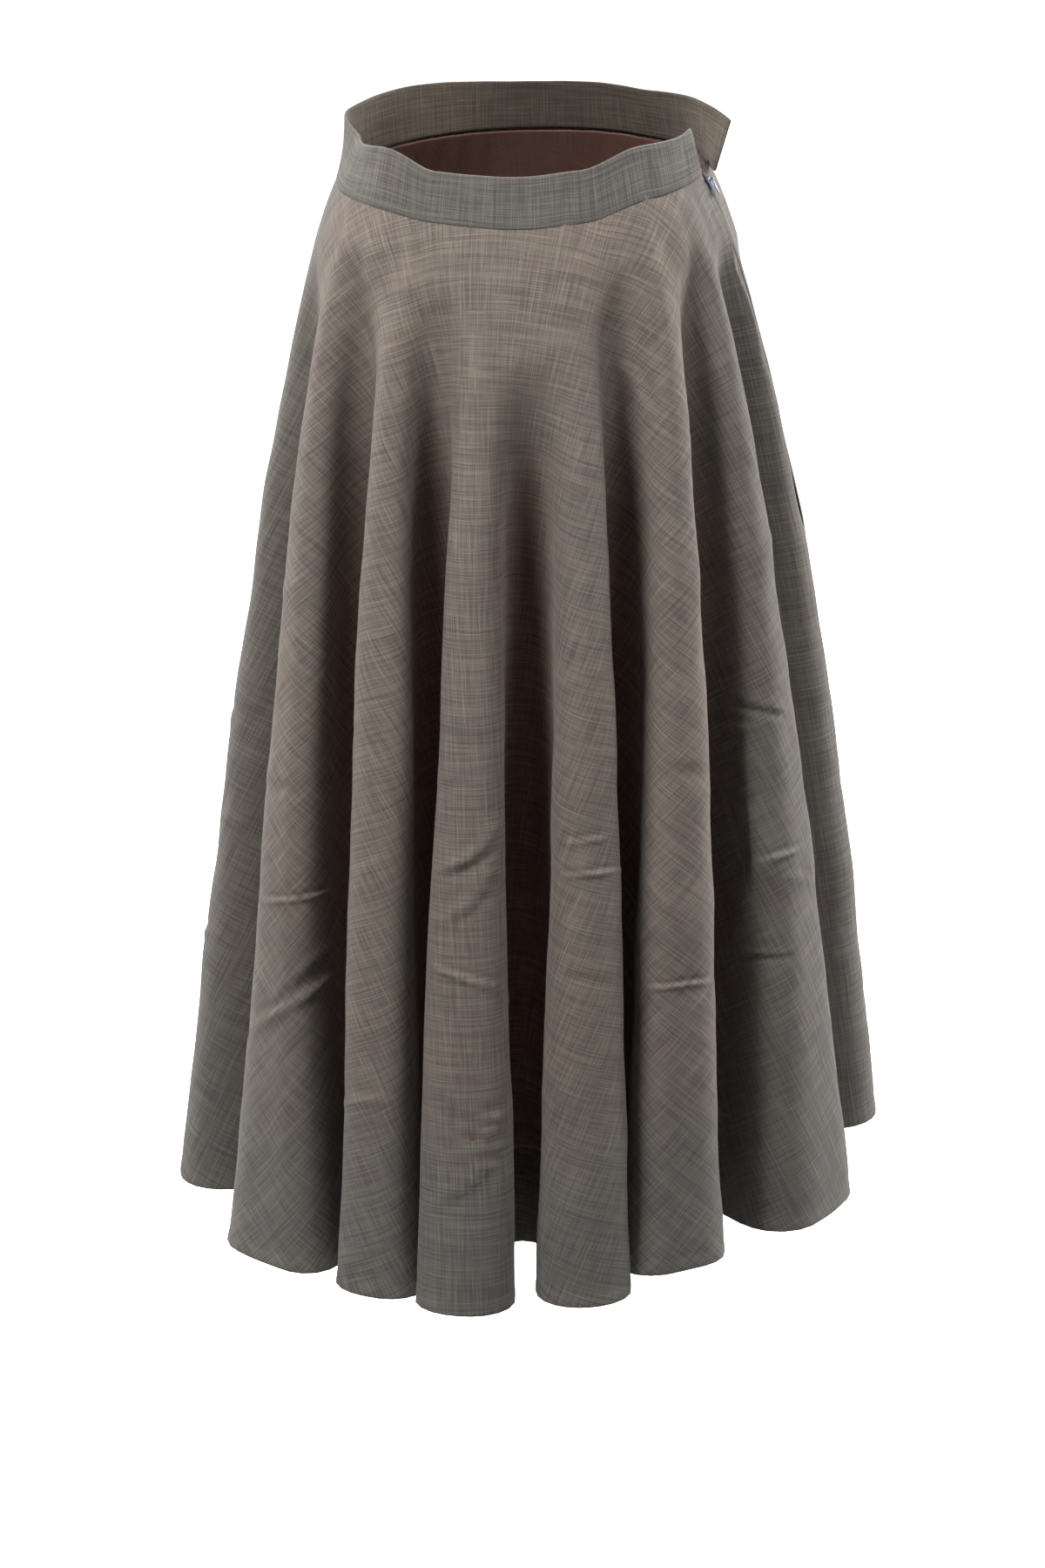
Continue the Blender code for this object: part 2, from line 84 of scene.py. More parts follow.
# One row a flute, in order round the body. The valley is the one on the crest's +X side.
FLUTE_COLUMNS = (
    "crest_deg", "crest_reach", "crest_waist_deg", "crest_flat", "crest_bow",
    "valley_deg", "valley_reach", "valley_waist_deg", "valley_start", "hem_z",
)
FLUTES = (
    (-104.0, 0.262, -104.0, 0.03, 0.003, -95.0, 0.160, -95.0, 0.06, -0.790),
    (-85.0, 0.266, -87.0, 0.04, -0.001, -66.0, 0.160, -79.0, 0.05, -0.793),
    (-44.5, 0.275, -70.0, 0.13, -0.002, -34.5, 0.150, -58.0, 0.03, -0.796),
    (-23.5, 0.277, -43.0, 0.03, 0.000, -17.0, 0.145, -31.0, 0.05, -0.799),
    (-9.2, 0.290, -13.5, 0.01, 0.000, 0.0, 0.150, 2.0, 0.11, -0.800),
    (10.2, 0.280, 19.0, 0.01, 0.000, 18.0, 0.145, 34.0, 0.04, -0.798),
    (27.0, 0.266, 50.0, 0.07, 0.002, 40.0, 0.150, 60.5, 0.04, -0.785),
    (60.0, 0.270, 68.5, 0.13, 0.002, 80.0, 0.165, 72.5, 0.05, -0.781),
    (97.0, 0.278, 79.0, 0.03, 0.003, 107.0, 0.155, 91.0, 0.07, -0.760),
    (117.0, 0.272, 104.0, 0.06, 0.002, 126.0, 0.150, 117.0, 0.05, -0.760),
    (136.0, 0.280, 130.0, 0.03, 0.002, 147.0, 0.143, 144.0, 0.08, -0.760),
    (157.0, 0.284, 157.0, 0.08, 0.000, 166.0, 0.150, 166.0, 0.12, -0.761),
    (176.0, 0.276, 176.0, 0.03, 0.003, 185.0, 0.143, 185.0, 0.05, -0.763),
    (195.0, 0.284, 195.0, 0.05, 0.000, 206.0, 0.148, 206.0, 0.09, -0.768),
    (216.0, 0.274, 216.0, 0.03, -0.003, 226.0, 0.145, 226.0, 0.06, -0.775),
    (236.0, 0.270, 236.0, 0.06, -0.003, 246.0, 0.152, 246.0, 0.08, -0.783),
)
SIDES = 2 * len(FLUTES)
RIGHT_SEAM = 0
LEFT_SEAM = 16

# The waistband, and how its seam and top edge rise and lean round the waist.
BAND_RISE = 0.0355
BAND_LENGTH = 0.73
BAND_COLUMNS = 330
BAND_END_ROUND = 0.0022
BAND_FULLNESS = 0.93
# Faint waves of the band: height and stretch in metres, and how far they slant.
BAND_WAVES = ((0.00022, 0.011, 5), (0.00014, 0.0047, 9))
WAIST_COLUMNS = ("deg", "seam_lift", "lean", "top_lift")
WAIST_SHAPE = (
    (-180.0, 0.000, 0.0120, 0.000),
    (-127.0, 0.000, -0.0060, 0.003),
    (-106.0, 0.000, -0.0020, 0.003),
    (-86.0, 0.001, 0.0165, -0.002),
    (-58.0, 0.004, 0.0110, 0.006),
    (-38.0, 0.002, 0.0100, -0.001),
    (0.0, 0.000, 0.0120, 0.000),
    (26.0, 0.002, 0.0115, 0.000),
    (50.0, 0.010, 0.0120, 0.001),
    (75.0, 0.010, 0.0090, -0.003),
    (97.0, 0.007, 0.0135, 0.002),
    (130.0, 0.002, 0.0120, 0.000),
    (180.0, 0.000, 0.0120, 0.000),
)
BAND_LAPS = 0.0007
BAND_PROUD = 0.0011
BAND_INNER = -0.0020
SPRUNG_DEG = 48.0
SPRUNG_TOP = (0.029, 0.010, 0.003)
SPRUNG_BOTTOM = (0.009, 0.005, 0.001)

# The wool panels: piece, node, whether it is the back, rows down and steps across a fold's side.
WOOL_PANELS = (
    ("skirt_front_cloth", "skirt_front", False, 310, 15),
    ("skirt_back_cloth", "skirt_back", True, 230, 13),
)
LINING_PANELS = (("lining_front_cloth", "lining_front", False), ("lining_back_cloth", "lining_back", True))
LINING_ROWS = 96
LINING_STEPS = 9
# The lining's depth behind the wool's face, less at the waist seam, and how soon it is reached.
LINING_DEPTH = 0.0038
LINING_RISE = 0.0014
LINING_RISE_LEVEL = 0.008
# How far the wool's top edge is tucked in and up behind the waistband.
TUCK_IN = 0.0007
TUCK_UP = 0.0025
# How closely a panel's columns follow its seams, and how its edge rolls in there.
SEAM_COLUMNS = (0.0, 0.0006, 0.0014, 0.0026)
EDGE_ROLL = (1.0, 0.42, 0.12)
EDGE_ROLL_DEPTH = 0.0009

# How close columns of the wool are beside a crest, as a share of their mean spacing, and how many
# more rows it has where most of its creases are.
CREST_CLOSE = 0.5
CREASED_LEVELS = (0.49, 0.86)
CREASED_ROWS = 1.5
# Above this level the creases fade and the cloth eases onto the waistband's ellipse.
CALM_LEVEL = 0.06

# The zip, in the seam at the wearer's left.
ZIP_SLIT = 0.0026
ZIP_ENDS = 0.235
TAPE_HALF_WIDTH = 0.0062
TAPE_FACE = 0.0021
SLIDER_TOP_LEVEL = 0.0035
SLIDER_WIDTH = 0.0060
SLIDER_LENGTH = 0.0085
SLIDER_THICK = 0.0018
SLIDER_CLEAR = 0.0004
PIN_OUT = 0.00385
PIN_DOWN = 0.35 * SLIDER_LENGTH
PIN_RADIUS = 0.00035
PULL_LENGTH = 0.0115
PULL_WIDTH = 0.0036
PULL_THICK = 0.0009
EYE_RADIUS = 0.00075
EYE_WALL = 0.00055
TAPE_ROWS = 90
TAPE_LEVELS = (0.006, 0.25)
TOOTH_DEPTHS = (-0.0016, -0.0003)
TOOTH_REACH = (-0.0003, 0.0010)
TOOTH_HALF = 0.30  # share of the pitch
EAR_THICK = 0.0008
EAR_HALF = 0.0010
EAR_BEVEL = 0.00018
SLIDER_BEVEL = 0.0005

# Press creases and small buckles. Columns: place_a, level_a, place_b, level_b, height, width. The
# ends are places and levels, the rest is in millimetres. A plus height is a ridge with a trough
# beside it.
FRONT_CREASES = (
    (3.76, 0.668, 4.58, 0.646, 1.3, 2.0),
    (3.76, 0.804, 4.62, 0.718, 2.6, 3.2),
    (4.06, 0.746, 4.64, 0.696, -1.9, 3.4),
    (3.70, 0.560, 4.30, 0.545, -0.8, 6.0),
    (3.80, 0.370, 4.10, 0.350, 0.7, 6.0),
    (5.80, 0.640, 6.12, 0.572, 1.0, 3.0),
    (5.70, 0.470, 6.20, 0.500, -0.8, 6.0),
    (5.75, 0.830, 6.15, 0.810, 0.9, 4.0),
    (8.30, 0.522, 7.84, 0.590, 3.4, 3.0),
    (8.16, 0.572, 7.90, 0.634, 2.8, 2.8),
    (8.08, 0.576, 8.18, 0.579, -1.0, 1.8),
    (7.82, 0.672, 8.34, 0.716, 2.6, 2.4),
    (7.90, 0.790, 8.08, 0.850, -2.2, 3.0),
    (8.02, 0.852, 8.20, 0.800, 3.2, 2.8),
    (8.22, 0.812, 7.84, 0.915, 2.6, 2.8),
    (7.75, 0.520, 8.05, 0.500, -0.8, 6.0),
    (7.80, 0.285, 8.20, 0.330, 0.7, 7.0),
    (9.86, 0.562, 10.10, 0.559, 1.2, 2.4),
    (9.84, 0.592, 10.28, 0.597, 1.5, 2.0),
    (9.88, 0.682, 10.12, 0.700, -1.0, 3.0),
    (9.70, 0.420, 10.25, 0.400, 0.8, 6.0),
    (11.10, 0.040, 11.66, 0.150, 2.6, 3.4),
    (11.00, 0.128, 11.62, 0.204, 2.6, 3.4),
    (11.74, 0.726, 12.24, 0.734, 1.5, 2.0),
    (12.56, 0.060, 12.02, 0.270, 0.9, 3.4),
    (12.02, 0.240, 11.98, 0.470, 0.7, 4.0),
    (11.85, 0.520, 12.20, 0.540, -0.8, 6.0),
    (13.40, 0.488, 13.96, 0.504, -2.6, 2.8),
    (13.34, 0.522, 13.68, 0.508, 1.4, 3.0),
    (13.74, 0.662, 13.65, 0.505, 6.0, 7.0),
    (13.52, 0.736, 13.74, 0.622, 5.2, 6.6),
    (13.66, 0.640, 13.98, 0.632, 1.6, 2.4),
    (13.82, 0.650, 14.16, 0.688, 0.9, 3.2),
    (13.48, 0.742, 13.84, 0.732, -1.7, 2.6),
    (13.90, 0.350, 14.20, 0.330, 0.8, 6.0),
    (15.82, 0.010, 15.63, 0.100, 1.1, 1.8),
    (15.63, 0.080, 15.76, 0.200, 1.1, 1.8),
    (15.74, 0.170, 15.83, 0.290, 0.8, 1.8),
    (1.80, 0.520, 2.15, 0.540, 0.9, 5.0),
    (1.85, 0.760, 2.15, 0.740, 1.0, 4.0),
)
BACK_CREASES = (
    (17.75, 0.560, 18.25, 0.545, 1.3, 3.0),
    (17.80, 0.700, 18.15, 0.730, 1.2, 3.0),
    (19.70, 0.640, 20.25, 0.625, 1.5, 2.6),
    (19.75, 0.420, 20.10, 0.450, -0.8, 6.0),
    (21.75, 0.750, 22.30, 0.700, 1.6, 3.0),
    (21.80, 0.540, 22.20, 0.530, 1.1, 3.6),
    (21.90, 0.330, 22.10, 0.300, 0.8, 6.5),
    (23.70, 0.600, 24.20, 0.575, 1.6, 3.0),
    (23.75, 0.660, 24.15, 0.668, 1.2, 2.6),
    (23.80, 0.840, 24.20, 0.820, 1.3, 3.0),
    (25.70, 0.500, 26.20, 0.530, 1.2, 3.6),
    (25.75, 0.740, 26.25, 0.730, 1.5, 2.6),
    (27.75, 0.590, 28.20, 0.560, 1.4, 3.0),
    (27.80, 0.310, 28.10, 0.340, 0.8, 6.5),
    (29.75, 0.690, 30.25, 0.680, 1.5, 2.6),
    (29.80, 0.460, 30.15, 0.440, -0.8, 6.0),
)
# A crease bends and thins towards its ends, in shares of its length. The trough beside it, in
# widths aside and as a share of its height.
CREASE_BEND = 0.06
CREASE_FADES = 0.12
CREASE_SOFT = 0.06
TROUGH_ASIDE = 1.7
TROUGH_SHARE = 0.6
# Broad soft buckles: wavelength across and down the cut, a phase and a height, all in metres.
RIPPLES = (
    (0.210, 0.460, 0.3, 0.00055),
    (-0.135, 0.260, 1.9, 0.00040),
    (0.088, -0.170, 3.1, 0.00028),
    (0.061, 0.098, 4.4, 0.00016),
    (-0.047, 0.073, 5.2, 0.00012),
)
# Dents of the waistband: degrees, width in degrees and depth in metres.
BAND_DENTS = (
    (-66.0, 4.0, 0.0008),
    (-20.0, 3.0, 0.0004),
    (19.0, 2.0, 0.0014),
    (24.0, 2.4, -0.0009),
    (52.0, 2.4, 0.0015),
    (58.0, 2.2, -0.0009),
    (70.0, 1.0, 0.0007),
    (150.0, 5.0, 0.0006),
    (-140.0, 4.0, 0.0006),
)
# Stitches that tack the band's front end: degrees, share of the band's height, and slant.
TACK_THREADS = ((71.0, 0.30, 0.7), (71.9, 0.24, 0.5), (76.5, 0.20, 0.9), (77.4, 0.14, 0.6), (78.1, 0.26, 0.8))
# Loose ends at the hem: place, length and lean in metres.
HEM_THREADS = (
    (3.75, 0.009, 0.004), (4.20, 0.006, -0.003), (7.90, 0.008, 0.003), (10.15, 0.006, -0.002),
    (12.25, 0.010, 0.005), (13.80, 0.007, 0.004), (14.20, 0.009, -0.004), (21.80, 0.008, 0.003),
    (26.10, 0.007, -0.003),
)
STITCH_PITCH = 0.0031
STITCH_LENGTH = 0.0024
STITCH_WIDTH = 0.00032
THREAD_RADIUS = 0.00014
# Soft lights: name, place, the setting of their power, their share of it, and size.
LIGHTS = (
    ("front_left", (-1.35, -1.25, 1.65), "key_power", 1.0, 0.9),
    ("front_right", (1.5, -1.15, 1.55), "key_power", 0.42, 0.9),
    ("side_right", (2.1, 1.1, 1.1), "side_power", 1.25, 1.1),
    ("side_left", (-2.0, 1.3, 1.1), "side_power", 0.8, 1.1),
    ("back", (0.0, 2.4, 1.4), "side_power", 0.4, 1.3),
)
LIGHTS_AIM = (0.0, 0.0, 0.45)
FLOOR_RADIUS = 14.0
WALL_HEIGHT = 16.0
CAMERA_PLACE = (0.0, -3.17, 0.47)
CAMERA_DOWN_DEG = 16.8
CAMERA_LENS = 100.0
CAMERA_SENSOR = 36.0


def flute_column(name):
    place = FLUTE_COLUMNS.index(name)
    return np.array([row[place] for row in FLUTES])


def fold_side(bend):
    """The middle line of a fold's side, which turns by bend and back again as a sine."""
    u = np.linspace(0.0, 1.0, 61)
    turn = bend * np.sin(math.pi * u)
    step_across = (np.cos(turn[1:]) + np.cos(turn[:-1])) / 120
    step_down = (np.sin(turn[1:]) + np.sin(turn[:-1])) / 120
    across = np.concatenate(([0.0], np.cumsum(step_across)))
    down = np.concatenate(([0.0], np.cumsum(step_down)))
    return u, across, down


BENDS = np.linspace(0.001, 2.15, 216)
BEND_ACROSS = np.array([fold_side(bend)[1][-1] for bend in BENDS])
BEND_DOWN = np.array([fold_side(bend)[2][-1] for bend in BENDS])


def folded(width, depth, flat, flat_first):
    """A fold's side of this width and depth, as shares of its length, width and depth."""
    steepness = (1 - flat) * BEND_DOWN / (flat + (1 - flat) * BEND_ACROSS)
    u, across, down = fold_side(float(np.interp(depth / width, steepness, BENDS)))
    u = np.concatenate(([0.0], flat + (1 - flat) * u))
    across = np.concatenate(([0.0], flat + (1 - flat) * across))
    down = np.concatenate(([0.0], (1 - flat) * down))
    length = width / across[-1]
    across /= across[-1]
    down /= down[-1]
    if not flat_first:
        u, across, down = (1 - line[::-1] for line in (u, across, down))
    return u, across, down, length


def ellipse_reach(degrees):
    angle = np.radians(degrees)
    return 1.0 / np.hypot(np.sin(angle) / WAIST_HALF_WIDTH, np.cos(angle) / WAIST_HALF_DEPTH)


def spread(level):
    """How far out a crest is at this level: 0 at the waist and 1 at the hem."""
    start = SPREAD_START**SPREAD_POWER
    whole = (1 + SPREAD_START) ** SPREAD_POWER - start
    return ((level + SPREAD_START) ** SPREAD_POWER - start) / whole


def turned(hem_deg, waist_deg, level, power):
    return hem_deg + (waist_deg - hem_deg) * (1 - level) ** power


def fold_ends(level):
    """The crests and valleys in turn, all round: degrees, reach, hem height and flat share."""
    crest_deg = flute_column("crest_deg")
    reach = flute_column("crest_reach")
    valley_deg = flute_column("valley_deg")
    hem_z = flute_column("hem_z")
    growth = reach - ellipse_reach(crest_deg)
    between = (growth + np.roll(growth, -1)) / 2
    depth = ellipse_reach(valley_deg) + between - flute_column("valley_reach")
    start = flute_column("valley_start")
    share = np.maximum(0.0, (level - start) / (1 - start))
    deepened = share**VALLEY_POWER * (1 - np.exp(-share / VALLEY_ONSET))
    crest = turned(crest_deg, flute_column("crest_waist_deg"), level, CREST_TURN)
    valley = turned(valley_deg, flute_column("valley_waist_deg"), level, VALLEY_TURN)
    ends = np.empty((SIDES + 1, 4))
    ends[0:-1:2, 0] = crest
    ends[1:-1:2, 0] = valley
    swell = 4 * level * (1 - level)
    ends[0:-1:2, 1] = ellipse_reach(crest) + growth * spread(level) + flute_column("crest_bow") * swell
    ends[1:-1:2, 1] = ellipse_reach(valley) + between * spread(level) - depth * deepened
    ends[0:-1:2, 2] = hem_z
    ends[1:-1:2, 2] = (hem_z + np.roll(hem_z, -1)) / 2
    ends[0:-1:2, 3] = flute_column("crest_flat") * level
    ends[1:-1:2, 3] = 0.0
    ends[-1] = ends[0]
    ends[-1, 0] += 360.0
    return ends


KNOWN_SIDES = {}


def fold_sides(level):
    """Each fold side's ends, shape and length at this level."""
    if level not in KNOWN_SIDES:
        ends = fold_ends(level)
        sides = []
        for start, end in zip(ends[:-1], ends[1:]):
            width = math.radians(end[0] - start[0]) * (start[1] + end[1]) / 2
            depth = abs(end[1] - start[1])
            sides.append((start, end, *folded(width, depth, start[3] + end[3], start[3] >= end[3])))
        KNOWN_SIDES[level] = sides
    return KNOWN_SIDES[level]


def plan(places, level):
    """The wool's face in plan at these places, and the hem's height under each."""
    places = np.asarray(places, float) % SIDES
    number = np.floor(places).astype(int)
    share = places - number
    out = np.empty(len(places))
    degrees = np.empty(len(places))
    hem = np.empty(len(places))
    sides = fold_sides(level)
    for side in np.unique(number):
        here = number == side
        start, end, u, across, down, _ = sides[side]
        out[here] = start[1] + (end[1] - start[1]) * np.interp(share[here], u, down)
        degrees[here] = start[0] + (end[0] - start[0]) * np.interp(share[here], u, across)
        hem[here] = start[2] + (end[2] - start[2]) * share[here]
    angle = np.radians(degrees)
    return out * np.sin(angle), -out * np.cos(angle), hem


def waist_column(name, degrees):
    """A column of the waist's table at these angles, eased between its rows."""
    place = WAIST_COLUMNS.index(name)
    degrees = (np.asarray(degrees, float) + 180.0) % 360.0 - 180.0
    rows = np.array([row[0] for row in WAIST_SHAPE])
    values = np.array([row[place] for row in WAIST_SHAPE])
    low = np.clip(np.searchsorted(rows, degrees, side="left") - 1, 0, len(rows) - 2)
    share = (degrees - rows[low]) / (rows[low + 1] - rows[low])
    ease = share * share * (3 - 2 * share)
    return values[low] + (values[low + 1] - values[low]) * ease


def seam_height(x, y):
    """The height of the waist seam over this point of the plan."""
    lift = waist_column("seam_lift", np.degrees(np.arctan2(x, -y)))
    return SEAM_Z + SEAM_RISE_BACK * y + SEAM_RISE_LEFT * x + lift


def face_rows(place_rows, levels):
    """Points of the wool's face: one row of places for each level."""
    rows = []
    for places, level in zip(place_rows, levels):
        x, y, hem = plan(places, level)
        waist_x, waist_y, _ = plan(places, 0.0)
        top = seam_height(waist_x, waist_y)
        rows.append(np.stack((x, y, top + (hem - top) * level), axis=1))
    return np.array(rows)


def side_length(side, level):
    return fold_sides(level)[side % SIDES][5]


def cut_shares(first, last):
    """How far round its half circle each place of a panel lies, from the hem's lengths."""
    along = np.cumsum([side_length(side, 1.0) for side in range(first, last)])
    return np.concatenate(([0.0], along / along[-1]))


FRONT_CUT = cut_shares(RIGHT_SEAM, LEFT_SEAM)
BACK_CUT = cut_shares(LEFT_SEAM, SIDES)


def cut_point(places, levels, is_back):
    """Where these places and levels lie on the flat half circle, its straight grain along Y."""
    places = np.asarray(places, float)
    first = LEFT_SEAM if is_back else RIGHT_SEAM
    last = SIDES if is_back else LEFT_SEAM
    share = np.interp(places, np.arange(first, last + 1), BACK_CUT if is_back else FRONT_CUT)
    angle = (share - 0.5) * math.pi
    radius = INNER_RADIUS + CLOTH_LENGTH * np.asarray(levels, float)
    return radius * np.sin(angle), -radius * np.cos(angle)


def crease_relief(across, along, is_back, scale):
    """How far the cloth stands out at these points of the cut, from creases and soft buckles."""
    relief = np.zeros_like(across)
    for wave_u, wave_v, phase, height in RIPPLES:
        relief += height * np.sin(2 * math.pi * (across / wave_u + along / wave_v) + phase)
    radius = np.hypot(across, along)
    relief *= np.clip((radius - INNER_RADIUS) / 0.20, 0.0, 1.0)
    for place_a, level_a, place_b, level_b, height, width in BACK_CREASES if is_back else FRONT_CREASES:
        ends_u, ends_v = cut_point((place_a, place_b), (level_a, level_b), is_back)
        run = np.array((ends_u[1] - ends_u[0], ends_v[1] - ends_v[0]))
        length = float(np.hypot(*run))
        run /= length
        du = across - ends_u[0]
        dv = along - ends_v[0]
        t = (du * run[0] + dv * run[1]) / length
        side = du * -run[1] + dv * run[0]
        side = side - CREASE_BEND * length * np.sin(math.pi * np.clip(t, 0, 1))
        ends = 1 / (1 + np.exp((CREASE_FADES - t) / CREASE_SOFT))
        ends /= 1 + np.exp((t - 1 + CREASE_FADES) / CREASE_SOFT)
        wide = width / 1000
        trough = np.exp(-(((side - TROUGH_ASIDE * wide) / wide) ** 2))
        shape = np.exp(-((side / wide) ** 2)) - TROUGH_SHARE * trough
        relief += height / 1000 * scale * ends * shape
    return relief


def new_object(name, mesh, look):
    made = bpy.data.objects.new(name, mesh)
    mesh.materials.append(look)
    bpy.context.scene.collection.objects.link(made)
    return made


def mesh_from(build, name):
    mesh = bpy.data.meshes.new(name)
    build.to_mesh(mesh)
    build.free()
    return mesh


def grid_object(name, points, cut, look, hang=None):
    """A sheet from rows of points, the first row lowest, with its cut as a UV map in metres.

    Hang is a second map: how deep in a fold each point is, from 0 at a crest to 1 in a valley, and
    its level down the cloth.
    """
    rows, columns = points.shape[:2]
    build = bmesh.new()
    bmesh.ops.create_grid(build, x_segments=columns - 1, y_segments=rows - 1, size=1.0)
    mesh = mesh_from(build, name)
    flat = np.empty(len(mesh.vertices) * 3)
    mesh.vertices.foreach_get("co", flat)
    flat = flat.reshape(-1, 3)
    column = np.rint((flat[:, 0] + 1) / 2 * (columns - 1)).astype(int)
    row = np.rint((flat[:, 1] + 1) / 2 * (rows - 1)).astype(int)
    mesh.vertices.foreach_set("co", points[row, column].astype(np.float32).ravel())
    corners = np.empty(len(mesh.loops), dtype=np.int32)
    mesh.loops.foreach_get("vertex_index", corners)
    for title, values in (("cut", cut), ("hang", hang)):
        if values is not None:
            layer = mesh.uv_layers.new(name=title)
            layer.data.foreach_set("uv", values[row, column][corners].astype(np.float32).ravel())
    mesh.update()
    mesh.shade_smooth()
    return new_object(name, mesh, look)


def thicken(obj, thickness):
    solid = obj.modifiers.new("thickness", "SOLIDIFY")
    solid.thickness = thickness
    solid.offset = -1.0


def normals_of(points):
    """Outward unit normals of rows of points, the first row highest."""
    along = np.gradient(points, axis=1)
    down = np.gradient(points, axis=0)
    across = np.cross(along, -down)
    return across / np.maximum(np.linalg.norm(across, axis=2, keepdims=True), 1e-9)


def panel_places(first, last, level, inset_first, inset_last, steps):
    """A panel's columns at one level, closer together beside its seams."""
    near = np.array(SEAM_COLUMNS)
    low = near / side_length(first, level)
    high = near / side_length(last - 1, level)
    low += inset_first / side_length(first, level)
    high += inset_last / side_length(last - 1, level)
    share = np.linspace(0.0, 1.0, steps + 1)[:-1]
    share = CREST_CLOSE * share + (1 - CREST_CLOSE) * share**2 * (1.8 - 0.8 * share)
    shares = (share, 1 - share[::-1])
    middle = np.concatenate([side + shares[side % 2] for side in range(first, last)])
    middle = np.unique(np.round(np.append(middle, (last, *range(first, last))), 9))
    middle = np.interp(middle, (first, last), (first + low[-1], last - high[-1]))
    return np.concatenate((first + low[:-1], middle, last - high[:-1][::-1]))


def zip_inset(level):
    """Half the slit beside the zip, closing to half a seam's gap below it."""
    below = min(max((level - ZIP_ENDS - 0.01) / 0.09, 0.0), 1.0)
    return ZIP_SLIT / 2 + (SEAM_GAP / 2 - ZIP_SLIT / 2) * below


def edge_turn(columns, depth):
    """A depth for each column that rolls a panel's first and last columns inwards at a seam."""
    turn = np.zeros(columns)
    roll = np.array(EDGE_ROLL) * depth
    turn[:3] = roll
    turn[-3:] = roll[::-1]
    return turn


def panel_sheet(is_back, levels, steps, depth, crease_scale):
    """Half a circle of cloth, depth behind the wool's face, with its creases."""
    first = LEFT_SEAM if is_back else RIGHT_SEAM
    last = SIDES if is_back else LEFT_SEAM
    rows = []
    for level in levels:
        at_zip = zip_inset(level)
        at_seam = SEAM_GAP / 2
        insets = (at_zip, at_seam) if is_back else (at_seam, at_zip)
        rows.append(panel_places(first, last, level, *insets, steps))
    rows = np.array(rows)
    points = face_rows(rows, levels)
    level_grid = np.repeat(np.asarray(levels)[:, None], rows.shape[1], axis=1)
    # The top edge lies exactly on the waistband's ellipse.
    reach = np.hypot(points[..., 0], points[..., 1])
    top = points[:1, :, :2]
    ring = ellipse_reach(np.degrees(np.arctan2(top[..., 0], -top[..., 1])))
    over = top * (1 - ring / reach[:1])[..., None]
    points[..., :2] -= over * (np.clip(1 - level_grid / CALM_LEVEL, 0.0, 1.0) ** 2)[..., None]
    normals = normals_of(points)
    across, along = cut_point(rows, level_grid, is_back)
    relief = crease_relief(across, along, is_back, crease_scale)
    fade = np.clip(level_grid / CALM_LEVEL, 0.0, 1.0)
    out = relief * fade - depth - edge_turn(rows.shape[1], EDGE_ROLL_DEPTH)[None, :]
    points = points + normals * out[..., None]
    fold_depth = np.abs((rows + 1) % 2 - 1)
    return points, normals, np.stack((across, along), axis=2), np.stack((fold_depth, level_grid), axis=2)


def hemmed_levels(count, last=1.0, hem=0.008):
    """Levels down the cloth, with a few close rows at the top edge and at the hem's fold."""
    start = np.array((0.0, 0.0015, 0.004))
    edge = last - np.array((hem + 0.001, hem, hem - 0.001, 0.0015, 0.0)) / CLOTH_LENGTH
    spots = np.linspace(0.010, edge[0] - 0.004, 400)
    creased = (spots > CREASED_LEVELS[0]) & (spots < CREASED_LEVELS[1])
    total = np.cumsum(1 + CREASED_ROWS * creased)
    middle = np.interp(np.linspace(total[0], total[-1], count), total, spots)
    return np.concatenate((start, middle, edge))


def set_values(node, values):
    for title, value in values.items():
        node.inputs[title].default_value = value


def new_material(name):
    """A material and its shader."""
    made = bpy.data.materials.new(name)
    made.use_nodes = True
    return made, made.node_tree.nodes["Principled BSDF"]


def ramp(nodes, links, source, low, high):
    made = nodes.new("ShaderNodeMapRange")
    made.interpolation_type = "SMOOTHSTEP"
    set_values(made, {"From Min": low, "From Max": high})
    links.new(source, made.inputs["Value"])
    return made.outputs["Result"]


